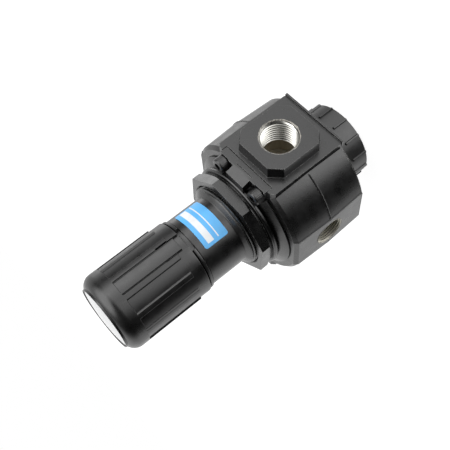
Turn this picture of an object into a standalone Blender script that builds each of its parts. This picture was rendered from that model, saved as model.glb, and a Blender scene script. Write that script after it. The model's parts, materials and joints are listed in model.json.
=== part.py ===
"""In-line air pressure regulator: octagon panel nut, pull-to-turn knob, ribbed bottom plug.

Metres, +Z up. The part stands on its bottom plug, the knob points up, the main ports
lie on +X and -X and the gauge ports on +Y and -Y. Threads are plain cylinders here.
"""

from math import atan2, cos, pi, radians, sin, sqrt, tau

import bmesh
import bpy
from mathutils import Matrix, Vector

# Clearances between pieces
GAP = 0.0003  # pieces that seat on each other
SLIDE_GAP = 0.0003  # radial play of a sliding or turning piece
SCREW_HOLE_PLAY = 0.0003  # radial play of a screw in its hole
CUTTER_OVER = 0.001  # a cutter runs this far past the faces that it opens

# Bore of the bonnet, from which the neck, the nut, the lugs and the body take their radii
SPRING_BORE = 0.0172
TUBE_WALL = 0.00345
NECK_STEP = 0.00395  # the threaded neck is this much larger in radius than the tube
NUT_WALL = 0.0038  # bore of the panel nut to its flats
SCREW_NUT_CLEAR = 0.00095  # screw head to the corners of the panel nut
LUG_EDGE = 0.0046  # screw axis to the face of the lug
LUG_INNER_EDGE = 0.0035  # screw axis to the inner side of the lug
LUG_HALF_WIDTH = 0.0171
LUG_SINK = 0.0002  # face of the lug behind the face of the port plate
LUG_DROP = 0.0031  # how far the lug reaches into the port plate
LUG_RISE = 0.0020  # top of the lug over the body
TAB_NUT_CLEAR = 0.00083
TAB_HEIGHT = 0.0048
TAB_SLOPE = 0.0016
TAB_POCKET_CLEAR = 0.0014

# Bonnet screws
SCREW_RADIUS = 0.0025
SCREW_HEAD_RADIUS = 0.00425
SCREW_HEAD_HEIGHT = 0.0050
SCREW_LENGTH = 0.0168
SCREW_SINK = 0.0005  # screw seat below the top of the lug
SCREW_SIDE = 0.0037  # screw axis to the end of the lug
SCREW_SOCKET_FLATS = 0.0040
SCREW_SOCKET_DEPTH = 0.0025
SCREW_POCKET_PLAY = 0.00135  # round pocket beside a screw's head
SCREW_END_PLAY = 0.0010
SCREW_EDGE = 0.0006
SCREW_POINT = 0.0005

# Ports and passages in the body
PORT_RADIUS = 0.0093  # thread root of the half-inch port
PORT_CHAMFER = 0.0015
PORT_ROOF = 0.0027  # port bore to the floor of the diaphragm chamber
INLET_WALL = 0.0035  # -X bore to the seat passage
OUTLET_WALL = 0.0013  # +X bore to the valve chamber
RISER_RADIUS = 0.0040  # passage from the +X bore up to the diaphragm
RISER_OFFSET = 0.0013  # riser axis outside the inner end of the +X bore
RISER_EDGE = 0.0002  # riser to the wall of the diaphragm chamber
GAUGE_RADIUS = 0.0075
GAUGE_CHAMFER = 0.0012
GAUGE_DEPTH = 0.0140
PILOT_RADIUS = 0.0025  # small hole behind each gauge port
PILOT_RISE = 0.0025
SEAT_PASSAGE_RADIUS = 0.0070
SEAT_LIP_WALL = 0.0014
SEAT_LIP_HEIGHT = 0.0013
DIAPHRAGM_CHAMBER_DEPTH = 0.0120
DIAPHRAGM_RIM = 0.0035  # clamped rim of the diaphragm

# Body casting
BODY_DRAFT = 0.0009  # radial growth from each end to the mould parting plane
BODY_BEVEL = 0.0020  # bevel round the knob end
BODY_BEVEL_SLOPE = 0.9  # of the bevel's height, taken off the radius
GAUGE_FLAT_DEPTH = 0.00115  # gauge face inside the round of the body
PLATE_SINK = 0.0022  # square port plate inside the round of the body
PLATE_EDGE = 0.0043  # end of the lug to the side of the plate
PLATE_CORNER = 0.0020  # cut corners of the plate at the knob end
RAIL_REACH = 0.0018  # foot rail in front of the plate
RAIL_ROOT = 0.0025  # foot rail under the plate
RAIL_DROP = 0.0009  # foot rail below the body
RAIL_BITE = 0.0002  # foot rail up into the plate
PAD_HEIGHT = 0.0065  # eight-sided port pad over the plate
PAD_SIDE_WALL = 0.0072  # port bore to the pad's upright sides
PAD_END_WALL = 0.0083  # port bore to the pad's upper and lower side
PAD_CORNER = 0.0060
PAD_DRAFT = 0.0006

# Bottom plug
PLUG_HEAD_HEIGHT = 0.0217
PLUG_HEAD_STEP = 0.0055  # head beyond the thread
PLUG_RIB = 0.0009  # height of a rib
PLUG_RIB_WIDTH = 0.0016
PLUG_RIBS = 13
PLUG_RIB_PHASE = radians(-10)
PLUG_RIB_LENGTH = 0.0100
PLUG_CHAMFER = 0.0004
PLUG_WALL = 0.0054  # beside the moulding recess in the underside
PLUG_CORE_DEPTH = 0.0080
PLUG_CORE_DRAFT = 0.0004
PLUG_THREAD_RADIUS = 0.0169
PLUG_THREAD_LENGTH = 0.0120
PLUG_THREAD_CHAMFER = 0.0008
PLUG_RECESS_WIDTH = 0.0032  # ring-shaped recess for the valve spring
PLUG_RECESS_DEPTH = 0.0080
GUIDE_POST_WALL = 0.0016
GUIDE_POST_DROP = 0.0020  # top of the guide post below the top of the plug
GUIDE_BORE_EXTRA = 0.0020  # guide bore runs this far below the spring recess
PLUG_SEAL_WIRE = 0.0010  # section radius of the plug's sealing ring

# Valve
VALVE_ROOM = 0.0090  # top of the plug to the top of the valve chamber
POPPET_EDGE = 0.0021  # poppet beyond the seat lip
POPPET_THICKNESS = 0.0028
POPPET_HUB_RADIUS = 0.0050
STEM_RADIUS = 0.0020
STEM_TIP = 0.4  # of the stem's radius
TAIL_RADIUS = 0.0045
TAIL_END_PLAY = 0.0030  # free depth under the tail in its guide bore
SEAL_THICKNESS = 0.0018
SEAL_EDGE = 0.0007  # seal inside the poppet's rim
TAIL_SEAL_WIRE = 0.0008
TAIL_SEAL_PROUD = 0.0001
TAIL_SEAL_DROP = 0.0070  # centre of the tail's sealing ring below the poppet
VALVE_SPRING_WIRE = 0.0007
VALVE_SPRING_TURNS = 4.5

# Diaphragm and its plates
DIAPHRAGM_THICKNESS = 0.0014
DIAPHRAGM_SEAT_DEPTH = 0.0020  # counterbore in the top of the body
CONVOLUTION_HEIGHT = 0.0026
HUB_FLANGE_RADIUS = 0.0140
HUB_FLANGE_THICKNESS = 0.0016
HUB_STUD_RADIUS = 0.0050
HUB_STUD_CHAMFER = 0.0004
HUB_STUD_SHOW = 0.0008  # stud beyond its nut
RELIEF_RADIUS = 0.0013
SPRING_PLATE_EDGE = 0.0011  # upper plate, also the lower spring seat, beyond the spring
SPRING_PLATE_THICKNESS = 0.0018
HUB_NUT_FLATS = 0.0130
HUB_NUT_HEIGHT = 0.0040

# Bonnet
FLANGE_STEP = 0.0056  # flange inside the round of the body
FLANGE_EDGE = 0.0006
SHOULDER_EDGE = 0.0001  # shoulder ring beyond the nut's flats
SHOULDER_HEIGHT = 0.0039
NECK_LENGTH = 0.0125
NECK_TAPER = 0.0020
TUBE_BEVEL = 0.0012
BONNET_TOP_WALL = 0.0054
FLARE_ROOM = 0.0010  # wide mouth over the diaphragm's convolution
FLARE_HEIGHT = 0.0032  # cone from the wide mouth to the bore
KEYWAY_WIDTH = 0.0044
KEYWAY_DEPTH = 0.0013
KEYWAY_LENGTH = 0.0366

# Panel nut
NUT_CORNER_ANGLE = radians(17.2)
NUT_SIDES = 8
NUT_FLANGE_STEP = 0.0023  # flange beyond the flats
NUT_FLANGE_HEIGHT = 0.0025
NUT_FLANGE_EDGE = 0.0005
NUT_HEIGHT = 0.0100
NUT_CHAMFER_FOOT = 0.0036  # the flats' lower corners are turned off from here
NUT_CHAMFER_TOP = 0.0054
NUT_CHAMFER_PLAY = 0.0003
NUT_BORE_CHAMFER = 0.0007

# Label
LABEL_START = radians(-36)
LABEL_END = radians(43)
LABEL_RISE = 0.0037  # label over the foot of the tube
LABEL_HEIGHT = 0.0148
LABEL_CORNER = 0.0012
LABEL_THICKNESS = 0.0002
LABEL_LIFT = 0.0001

# Clip ring on the bonnet under the knob
LABEL_TO_RING = 0.0042
RING_WIDTH = 0.0018
RING_STEP = 0.00085  # ring beyond the tube
RING_TO_KNOB = 0.0007
RING_OPENING = radians(40)
GROOVE_DEPTH = 0.0010

# Adjusting screw, upper spring seat and main spring
SPINDLE_THREAD_RADIUS = 0.0040
SPINDLE_THREAD_LENGTH = 0.0365
SPINDLE_POINT = 0.0008
SPINDLE_FLANGE_RADIUS = 0.0090
SPINDLE_FLANGE_THICKNESS = 0.0025
JOURNAL_STEP = 0.0002  # journal beyond the thread
DRIVE_FLATS = 0.0070
DRIVE_LENGTH = 0.0115
DRIVE_SHOULDER = 0.0005  # round journal that stands out of the tube's end
WASHER_EDGE = 0.0005  # washer beyond the spindle's flange
WASHER_THICKNESS = 0.0010
SPRING_NUT_DROP = 0.0062  # top of the upper spring seat below the spindle flange
SPRING_NUT_PLAY = 0.0004  # upper spring seat in the bonnet's bore
SPRING_NUT_THICKNESS = 0.0040
SPRING_NUT_BOSS_WALL = 0.0045
SPRING_NUT_BOSS_LENGTH = 0.0040
EAR_ROOT = 0.0020
SPRING_SIDE_PLAY = 0.0025  # main spring in the bonnet's bore
SPRING_WIRE = 0.0016
SPRING_TURNS = 6.5
COIL_CLEAR = 0.0001  # between the closed turns at a spring's ends

# Knob
KNOB_OVERLAP = 0.0241  # length of the tube inside the knob
KNOB_LENGTH = 0.0528
KNOB_WALL_CLEAR = 0.0003  # knob bore over the bonnet tube
KNOB_WALL = 0.00115
KNOB_RIB = 0.0008
KNOB_RIBS = 12
KNOB_RIB_ANGLE = radians(9.6)  # width of a rib
KNOB_RIB_PHASE = radians(-20)
KNOB_SKIRT = 0.0068  # smooth stretch under the ribs
KNOB_HEAD = 0.0117  # smooth stretch over the ribs
KNOB_ROUNDING = 0.0070
KNOB_ROOF = 0.0120
KNOB_LIP = 0.0004  # widening at the mouth of the bore
KNOB_LIP_HEIGHT = 0.0010
KNOB_EDGE = 0.0002
SKIN_BITE = 0.0005  # ribs and pad run this far into the smooth head
PAD_START = radians(-15.5)
PAD_END = radians(5.5)
PAD_RISE = 0.0034  # foot of the pad over the foot of the knob
PAD_SKIN = 0.0005  # height of the pad, which is a spring tongue between two slots
TONGUE_LENGTH = 0.0107
TONGUE_SLOT = radians(2.0)
TONGUE_TRIM = radians(0.15)
KNOB_HUB_WALL = 0.0036
KNOB_HUB_LIFT = 0.0030  # knob hub over the top of the bonnet
DRIVE_END_PLAY = 0.0045
DISC_EDGE = 0.0015  # disc beyond the inner end of the knob's rounding
DISC_THICKNESS = 0.0016
DISC_DOME = 0.0012
DISC_SEAT_EDGE = 0.0006

# Facets
FINE = 40
ROUND = 28
COARSE = 20
SMALL = 12

# Radii and places across the axis that follow from the sizes above
TUBE_RADIUS = SPRING_BORE + TUBE_WALL
NECK_RADIUS = TUBE_RADIUS + NECK_STEP
NUT_BORE = NECK_RADIUS + SLIDE_GAP
NUT_FLATS = 2 * (NUT_BORE + NUT_WALL)
NUT_CORNER_RADIUS = NUT_FLATS / 2 / cos(pi / NUT_SIDES)
NUT_FLANGE_RADIUS = NUT_FLATS / 2 + NUT_FLANGE_STEP
SHOULDER_RADIUS = NUT_FLATS / 2 + SHOULDER_EDGE
SCREW_Y = LUG_HALF_WIDTH - SCREW_SIDE
SCREW_X = sqrt((NUT_CORNER_RADIUS + SCREW_NUT_CLEAR + SCREW_HEAD_RADIUS) ** 2 - SCREW_Y**2)
SCREW_POCKET_RADIUS = SCREW_HEAD_RADIUS + SCREW_POCKET_PLAY
LUG_FACE = SCREW_X + LUG_EDGE
LUG_INNER = SCREW_X - LUG_INNER_EDGE
TAB_INNER = NUT_CORNER_RADIUS + TAB_NUT_CLEAR
TAB_HALF_WIDTH = SCREW_Y - SCREW_POCKET_RADIUS - TAB_POCKET_CLEAR
PLATE_FACE = LUG_FACE + LUG_SINK
PLATE_HALF_WIDTH = LUG_HALF_WIDTH + PLATE_EDGE
PAD_FACE = PLATE_FACE + PAD_HEIGHT
PAD_HALF_WIDTH = PORT_RADIUS + PAD_SIDE_WALL
PAD_HALF_HEIGHT = PORT_RADIUS + PAD_END_WALL
BODY_RADIUS = PLATE_FACE + PLATE_SINK  # at both ends, the draft adds to it at mid height
GAUGE_FACE = BODY_RADIUS - GAUGE_FLAT_DEPTH  # at both ends
FLANGE_RADIUS = BODY_RADIUS - FLANGE_STEP
PLUG_BORE = PLUG_THREAD_RADIUS + SLIDE_GAP
PLUG_RADIUS = PLUG_THREAD_RADIUS + PLUG_HEAD_STEP
PLUG_CORE_RADIUS = PLUG_RADIUS - PLUG_WALL
INLET_END = SEAT_PASSAGE_RADIUS + INLET_WALL
OUTLET_END = PLUG_BORE + OUTLET_WALL
RISER_FROM_AXIS = OUTLET_END + RISER_OFFSET
DIAPHRAGM_CHAMBER_RADIUS = RISER_FROM_AXIS + RISER_RADIUS + RISER_EDGE
DIAPHRAGM_RADIUS = DIAPHRAGM_CHAMBER_RADIUS + DIAPHRAGM_RIM
GUIDE_BORE_RADIUS = TAIL_RADIUS + SLIDE_GAP
GUIDE_POST_RADIUS = GUIDE_BORE_RADIUS + GUIDE_POST_WALL
PLUG_RECESS_RADIUS = GUIDE_POST_RADIUS + PLUG_RECESS_WIDTH
VALVE_SPRING_RADIUS = (GUIDE_POST_RADIUS + PLUG_RECESS_RADIUS) / 2
POPPET_RADIUS = SEAT_PASSAGE_RADIUS + SEAT_LIP_WALL + POPPET_EDGE
SEAL_RADIUS = POPPET_RADIUS - SEAL_EDGE
SPRING_RADIUS = SPRING_BORE - SPRING_SIDE_PLAY - SPRING_WIRE
SPRING_PLATE_RADIUS = SPRING_RADIUS + SPRING_WIRE + SPRING_PLATE_EDGE
SPRING_NUT_RADIUS = SPRING_BORE - SPRING_NUT_PLAY
SPRING_NUT_BOSS_RADIUS = SPINDLE_THREAD_RADIUS + SPRING_NUT_BOSS_WALL
JOURNAL_RADIUS = SPINDLE_THREAD_RADIUS + JOURNAL_STEP
WASHER_RADIUS = SPINDLE_FLANGE_RADIUS + WASHER_EDGE
KNOB_BORE = TUBE_RADIUS + KNOB_WALL_CLEAR
KNOB_RADIUS = KNOB_BORE + KNOB_WALL  # between the ribs
CREST_RADIUS = KNOB_RADIUS + KNOB_RIB
PAD_RADIUS = KNOB_RADIUS + PAD_SKIN
KNOB_HUB_RADIUS = DRIVE_FLATS / 2 / cos(pi / 6) + SLIDE_GAP + KNOB_HUB_WALL
DISC_RADIUS = CREST_RADIUS - KNOB_ROUNDING + DISC_EDGE
RING_OUTER_RADIUS = TUBE_RADIUS + RING_STEP
BEYOND = 2 * PAD_FACE  # clear outside everything

# Heights that follow from the sizes above
BODY_FOOT = PLUG_HEAD_HEIGHT + GAP
PLUG_TOP = BODY_FOOT + PLUG_THREAD_LENGTH
PLUG_RECESS_FLOOR = PLUG_TOP - PLUG_RECESS_DEPTH
GUIDE_BORE_FLOOR = PLUG_RECESS_FLOOR - GUIDE_BORE_EXTRA
VALVE_CHAMBER_TOP = PLUG_TOP + VALVE_ROOM
SEAT_LIP = VALVE_CHAMBER_TOP - SEAT_LIP_HEIGHT
POPPET_TOP = SEAT_LIP - GAP - SEAL_THICKNESS - GAP
POPPET_FOOT = POPPET_TOP - POPPET_THICKNESS
BODY_HALF_HEIGHT = PORT_RADIUS + PORT_ROOF + DIAPHRAGM_CHAMBER_DEPTH
PORT_HEIGHT = BODY_FOOT + BODY_HALF_HEIGHT  # main and gauge port axes above the ground
BODY_TOP = PORT_HEIGHT + BODY_HALF_HEIGHT
DIAPHRAGM_CHAMBER_FLOOR = BODY_TOP - DIAPHRAGM_CHAMBER_DEPTH
DIAPHRAGM_FOOT = BODY_TOP - DIAPHRAGM_SEAT_DEPTH + GAP
DIAPHRAGM_TOP = DIAPHRAGM_FOOT + DIAPHRAGM_THICKNESS
SPRING_PLATE_FOOT = DIAPHRAGM_TOP + GAP
SPRING_PLATE_TOP = SPRING_PLATE_FOOT + SPRING_PLATE_THICKNESS
HUB_FLANGE_TOP = DIAPHRAGM_FOOT - GAP
HUB_FLANGE_FOOT = HUB_FLANGE_TOP - HUB_FLANGE_THICKNESS
HUB_NUT_FOOT = SPRING_PLATE_TOP + GAP
HUB_NUT_TOP = HUB_NUT_FOOT + HUB_NUT_HEIGHT
BONNET_FOOT = BODY_TOP + GAP
FLARE_FOOT = DIAPHRAGM_TOP + CONVOLUTION_HEIGHT + FLARE_ROOM
LUG_FOOT = BODY_TOP - LUG_DROP
LUG_TOP = BODY_TOP + LUG_RISE
TAB_TOP = LUG_TOP + TAB_HEIGHT
SCREW_SEAT = LUG_TOP - SCREW_SINK
SCREW_HEAD_FOOT = SCREW_SEAT + GAP
SCREW_HEAD_TOP = SCREW_HEAD_FOOT + SCREW_HEAD_HEIGHT
SCREW_TIP = SCREW_HEAD_FOOT - SCREW_LENGTH
SHOULDER = BONNET_FOOT + SHOULDER_HEIGHT
NUT_FOOT = SHOULDER + GAP
NUT_TOP = NUT_FOOT + NUT_HEIGHT
NECK_TOP = SHOULDER + NECK_LENGTH
TUBE_FOOT = NECK_TOP + NECK_TAPER
LABEL_BOTTOM = TUBE_FOOT + LABEL_RISE
RING_FOOT = LABEL_BOTTOM + LABEL_HEIGHT + LABEL_TO_RING
RING_TOP = RING_FOOT + RING_WIDTH
KNOB_FOOT = RING_TOP + RING_TO_KNOB
KNOB_TOP = KNOB_FOOT + KNOB_LENGTH
KNOB_CAVITY_TOP = KNOB_TOP - KNOB_ROOF
RIB_FOOT = KNOB_FOOT + KNOB_SKIRT
RIB_HEAD = KNOB_TOP - KNOB_HEAD
PAD_FOOT = KNOB_FOOT + PAD_RISE
TUBE_TOP = KNOB_FOOT + KNOB_OVERLAP
KNOB_HUB_FOOT = TUBE_TOP + KNOB_HUB_LIFT
BONNET_ROOF = TUBE_TOP - BONNET_TOP_WALL
WASHER_FOOT = BONNET_ROOF - GAP - WASHER_THICKNESS
SPINDLE_FLANGE_TOP = WASHER_FOOT - GAP
SPINDLE_FLANGE_FOOT = SPINDLE_FLANGE_TOP - SPINDLE_FLANGE_THICKNESS
SPINDLE_FOOT = SPINDLE_FLANGE_FOOT - SPINDLE_THREAD_LENGTH
SPRING_NUT_TOP = SPINDLE_FLANGE_FOOT - SPRING_NUT_DROP
SPRING_NUT_FOOT = SPRING_NUT_TOP - SPRING_NUT_THICKNESS
DRIVE_FOOT = TUBE_TOP + DRIVE_SHOULDER
DRIVE_TOP = TUBE_TOP + DRIVE_LENGTH
DISC_FLOOR = KNOB_TOP - DISC_THICKNESS - GAP

BLACK_CAST = (0.018, 0.018, 0.019, 1.0)
BLACK_PLASTIC = (0.022, 0.022, 0.023, 1.0)

for stale in list(bpy.data.objects):
    bpy.data.objects.remove(stale, do_unlink=True)

scene = bpy.context.scene
parts = bpy.data.collections.new("pressure_regulator")
cutters = bpy.data.collections.new("cutters")
scene.collection.children.link(parts)
scene.collection.children.link(cutters)


# Helpers
def material(name, colour, roughness, metallic):
    """A plain material for one sub-part."""
    made = bpy.data.materials.new(name)
    made.use_nodes = True
    shader = made.node_tree.nodes["Principled BSDF"]
    shader.inputs["Base Color"].default_value = colour
    shader.inputs["Roughness"].default_value = roughness
    shader.inputs["Metallic"].default_value = metallic
    return made


def new_object(name, mesh, helper=True):
    """An object in the cutters' collection, or among the parts."""
    made = bpy.data.objects.new(name, mesh)
    (cutters if helper else parts).objects.link(made)
    made.hide_render = helper
    if helper:
        made.display_type = "WIRE"
    return made


def from_bmesh(name, bm):
    bmesh.ops.recalc_face_normals(bm, faces=bm.faces)
    mesh = bpy.data.meshes.new(name)
    bm.to_mesh(mesh)
    bm.free()
    return new_object(name, mesh)


def turned(name, profile, steps=ROUND, ring=False):
    """A profile of (radius, height) points, outer side first from the top down, turned about Z."""
    mesh = bpy.data.meshes.new(name)
    count = len(profile)
    edges = [(i, i + 1) for i in range(count - 1)]
    if ring:
        edges.append((count - 1, 0))
    mesh.from_pydata([(r, 0, z) for r, z in profile], edges, [])
    made = new_object(name, mesh)
    screw = made.modifiers.new("turn", "SCREW")
    screw.steps = screw.render_steps = steps
    screw.use_merge_vertices = True
    screw.merge_threshold = 0.00001
    return made


def block(name, low, high):
    """A box between two opposite corners."""
    bm = bmesh.new()
    bmesh.ops.create_cube(bm, size=1)
    size = [b - a for a, b in zip(low, high)]
    centre = [(a + b) / 2 for a, b in zip(low, high)]
    bmesh.ops.scale(bm, vec=size, verts=bm.verts)
    bmesh.ops.translate(bm, vec=centre, verts=bm.verts)
    return from_bmesh(name, bm)


def between(name, side, inner, outer, half_width, foot, top):
    """A box on the +X or -X side, between two distances from the axis."""
    near, far = sorted((side * inner, side * outer))
    return block(name, (near, -half_width, foot), (far, half_width, top))


def rod(name, radius, start, end, steps=COARSE, end_radius=None):
    """A cylinder or cone between two points on its axis."""
    start, end = Vector(start), Vector(end)
    axis = end - start
    bm = bmesh.new()
    place = Matrix.Translation((start + end) / 2) @ axis.to_track_quat("Z", "Y").to_matrix().to_4x4()
    bmesh.ops.create_cone(
        bm,
        cap_ends=True,
        segments=steps,
        radius1=radius,
        radius2=radius if end_radius is None else end_radius,
        depth=axis.length,
        matrix=place,
    )
    return from_bmesh(name, bm)


def prism(name, sides, across_flats, foot, top, corner_angle=0.0):
    """An upright prism with a regular outline."""
    made = rod(name, across_flats / 2 / cos(pi / sides), (0, 0, foot), (0, 0, top), sides)
    made.data.transform(Matrix.Rotation(corner_angle - first_corner(made), 4, "Z"))
    return made


def first_corner(made):
    corner = made.data.vertices[0].co
    return atan2(corner.y, corner.x)


def loft(name, rings):
    """A closed solid through rings of points, each ring having as many points."""
    bm = bmesh.new()
    layers = [[bm.verts.new(point) for point in ring] for ring in rings]
    count = len(layers[0])
    for lower, upper in zip(layers, layers[1:]):
        for i in range(count):
            j = (i + 1) % count
            bm.faces.new((lower[i], lower[j], upper[j], upper[i]))
    bm.faces.new(layers[0][::-1])
    bm.faces.new(layers[-1])
    return from_bmesh(name, bm)


def sector(name, angles, inner, outer, foot, top):
    """An upright wedge between two angles and two distances from the axis."""
    start, end = sorted(angles)
    outline = [(inner * cos(a), inner * sin(a)) for a in (end, start)]
    outline += [(outer * cos(a), outer * sin(a)) for a in (start, end)]
    return loft(name, [[(x, y, z) for x, y in outline] for z in (foot, top)])


def boolean(target, tool, operation="DIFFERENCE"):
    step = target.modifiers.new(operation.lower(), "BOOLEAN")
    step.operation = operation
    step.object = tool
    return step


def cut(target, *tools):
    for tool in tools:
        boolean(target, tool)


def join(target, *tools):
    for tool in tools:
        boolean(target, tool, "UNION")


def finish(source, name, look, sharp=30.0, origin=(0, 0, 0)):
    """The evaluated mesh of a helper, as a part with its own material and origin."""
    bpy.context.view_layer.update()
    graph = bpy.context.evaluated_depsgraph_get()
    mesh = bpy.data.meshes.new_from_object(source.evaluated_get(graph))
    mesh.name = name
    mesh.transform(Matrix.Translation(-Vector(origin)) @ source.matrix_world)
    mesh.materials.clear()
    mesh.materials.append(look)
    mesh.shade_smooth()
    mesh.set_sharp_from_angle(angle=radians(sharp))
    made = new_object(name, mesh, helper=False)
    made.location = origin
    bpy.data.objects.remove(source, do_unlink=True)
    return made


def coil(name, radius, wire, foot, top, turns, look):
    """A compression spring with closed ends, its wire surface between foot and top."""
    per_turn = 10
    low, high = foot + wire, top - wire
    closed = 2 * wire + COIL_CLEAR
    count = int(turns * per_turn)
    curve = bpy.data.curves.new(name, "CURVE")
    curve.dimensions = "3D"
    curve.bevel_depth = wire
    curve.bevel_resolution = 2
    curve.use_fill_caps = True
    spline = curve.splines.new("POLY")
    spline.points.add(count)
    for i, point in enumerate(spline.points):
        turn = turns * i / count
        inner = min(max(turn - 1, 0), turns - 2) / (turns - 2)
        ends = min(turn, 1) + max(turn - (turns - 1), 0)
        height = low + closed * ends + inner * (high - low - 2 * closed)
        angle = tau * turn
        point.co = (radius * cos(angle), radius * sin(angle), height, 1)
    made = new_object(name, curve)
    bpy.context.view_layer.update()
    mesh = bpy.data.meshes.new_from_object(made.evaluated_get(bpy.context.evaluated_depsgraph_get()))
    bm = bmesh.new()
    bm.from_mesh(mesh)
    bmesh.ops.remove_doubles(bm, verts=bm.verts, dist=0.000005)
    bpy.data.objects.remove(made, do_unlink=True)
    return finish(from_bmesh(name + "_wire", bm), name, look, 60)


def torus(name, radius, wire, height, look):
    bm = bmesh.new()
    sides = 6
    angles = [tau * k / sides for k in range(sides)]
    section = [bm.verts.new((radius + wire * cos(a), 0, height + wire * sin(a))) for a in angles]
    edges = [bm.edges.new((section[k - 1], section[k])) for k in range(sides)]
    bmesh.ops.spin(
        bm, geom=section + edges, cent=(0, 0, 0), axis=(0, 0, 1), angle=tau, steps=COARSE, use_merge=True
    )
    return finish(from_bmesh(name + "_ring", bm), name, look, 60)


# Body casting
def body_outline(height, grow):
    """One level of the drafted casting: a circle with a flat on each gauge side."""
    scale = (BODY_RADIUS + grow) / BODY_RADIUS
    corner = atan2(GAUGE_FACE, sqrt(BODY_RADIUS**2 - GAUGE_FACE**2))
    quarter = 9
    arc = [corner * k / quarter for k in range(-quarter, quarter + 1)]
    points = [(BODY_RADIUS * cos(a), BODY_RADIUS * sin(a)) for a in arc]
    points += [(-x, -y) for x, y in points]
    return [(x * scale, y * scale, height) for x, y in points]


def port_pad(side):
    """The raised eight-sided pad round a main port."""
    rings = []
    for x, grow in ((BODY_RADIUS / 2, PAD_DRAFT), (PLATE_FACE, PAD_DRAFT), (PAD_FACE, 0.0)):
        y, z, c = PAD_HALF_WIDTH + grow, PAD_HALF_HEIGHT + grow, PAD_CORNER
        outline = [(y, z - c), (y - c, z), (c - y, z), (-y, z - c)]
        outline += [(-a, -b) for a, b in outline]
        rings.append([(side * x, a, PORT_HEIGHT + b) for a, b in outline])
    return loft("pad_form", rings)


def port_plate(side):
    """The square plate behind the pad, with cut corners at the knob end."""
    w, c = PLATE_HALF_WIDTH, PLATE_CORNER
    outline = [(-w, BODY_FOOT), (w, BODY_FOOT), (w, BODY_TOP - c), (w - c, BODY_TOP)]
    outline += [(c - w, BODY_TOP), (-w, BODY_TOP - c)]
    inner = BODY_RADIUS / 2
    return loft("plate_form", [[(side * x, y, z) for y, z in outline] for x in (inner, PLATE_FACE)])


def foot_rail(side):
    """The low straight rail along the plug end of a port plate, its ends rounded off."""
    inner, outer, half = PLATE_FACE - RAIL_ROOT, PLATE_FACE + RAIL_REACH, PLATE_HALF_WIDTH
    eased = RAIL_REACH / 2
    outline = [(inner, -half), (outer - eased, -half), (outer, eased - half)]
    outline += [(x, -y) for x, y in reversed(outline)]
    heights = (BODY_FOOT - RAIL_DROP, BODY_FOOT + RAIL_BITE)
    return loft("foot_rail", [[(side * x, y, z) for x, y in outline] for z in heights])


def port_cutter(direction, face, inner_end, radius, chamfer):
    """A horizontal bore with a chamfered mouth, from a face in to its inner end."""
    tool = turned(
        "port_cutter",
        [
            (0, face + CUTTER_OVER),
            (radius + chamfer + CUTTER_OVER, face + CUTTER_OVER),
            (radius, face - chamfer),
            (radius, inner_end),
            (0, inner_end),
        ],
        COARSE,
    )
    tool.rotation_euler = Vector(direction).to_track_quat("Z", "Y").to_euler()
    tool.location = (0, 0, PORT_HEIGHT)
    return tool


cast_black = material("cast_black", BLACK_CAST, 0.42, 0.0)
body = loft(
    "body_form",
    [
        body_outline(BODY_FOOT, 0.0),
        body_outline(PORT_HEIGHT, BODY_DRAFT),
        body_outline(BODY_TOP - BODY_BEVEL, BODY_DRAFT * BODY_BEVEL / BODY_HALF_HEIGHT),
        body_outline(BODY_TOP, -BODY_BEVEL * BODY_BEVEL_SLOPE),
    ],
)
for side in (-1, 1):
    cut(body, between("beyond_plate", side, PLATE_FACE, BEYOND, BEYOND, -BEYOND, BODY_TOP + BEYOND))
for side in (-1, 1):
    join(body, port_plate(side), port_pad(side), foot_rail(side))

plug_seal_radius = PLUG_BORE + PLUG_SEAL_WIRE
plug_seal_room = 2 * PLUG_SEAL_WIRE + 2 * GAP
valve_chamber = turned(
    "valve_chamber",
    [
        (0, VALVE_CHAMBER_TOP),
        (PLUG_BORE, VALVE_CHAMBER_TOP),
        (PLUG_BORE, BODY_FOOT + plug_seal_room),
        (plug_seal_radius + PLUG_SEAL_WIRE + SLIDE_GAP, BODY_FOOT + plug_seal_room),
        (plug_seal_radius + PLUG_SEAL_WIRE + SLIDE_GAP, BODY_FOOT - CUTTER_OVER),
        (0, BODY_FOOT - CUTTER_OVER),
    ],
)
seat_lip = rod(
    "seat_lip",
    SEAT_PASSAGE_RADIUS + SEAT_LIP_WALL,
    (0, 0, SEAT_LIP),
    (0, 0, VALVE_CHAMBER_TOP + CUTTER_OVER),
)
seat_passage = rod(
    "seat_passage",
    SEAT_PASSAGE_RADIUS,
    (0, 0, SEAT_LIP - CUTTER_OVER),
    (0, 0, DIAPHRAGM_CHAMBER_FLOOR + CUTTER_OVER),
)
diaphragm_chamber = turned(
    "diaphragm_chamber",
    [
        (0, BODY_TOP + CUTTER_OVER),
        (DIAPHRAGM_RADIUS + SLIDE_GAP, BODY_TOP + CUTTER_OVER),
        (DIAPHRAGM_RADIUS + SLIDE_GAP, BODY_TOP - DIAPHRAGM_SEAT_DEPTH),
        (DIAPHRAGM_CHAMBER_RADIUS, BODY_TOP - DIAPHRAGM_SEAT_DEPTH),
        (DIAPHRAGM_CHAMBER_RADIUS, DIAPHRAGM_CHAMBER_FLOOR),
        (0, DIAPHRAGM_CHAMBER_FLOOR),
    ],
)
cut(body, valve_chamber)
join(body, seat_lip)
cut(body, diaphragm_chamber, seat_passage)
cut(body, port_cutter((-1, 0, 0), PAD_FACE, INLET_END, PORT_RADIUS, PORT_CHAMFER))
cut(body, port_cutter((1, 0, 0), PAD_FACE, OUTLET_END, PORT_RADIUS, PORT_CHAMFER))
cut(
    body,
    rod(
        "riser",
        RISER_RADIUS,
        (RISER_FROM_AXIS, 0, PORT_HEIGHT),
        (RISER_FROM_AXIS, 0, DIAPHRAGM_CHAMBER_FLOOR + CUTTER_OVER),
        SMALL,
    ),
)
gauge_plane = GAUGE_FACE * (BODY_RADIUS + BODY_DRAFT) / BODY_RADIUS
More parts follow.
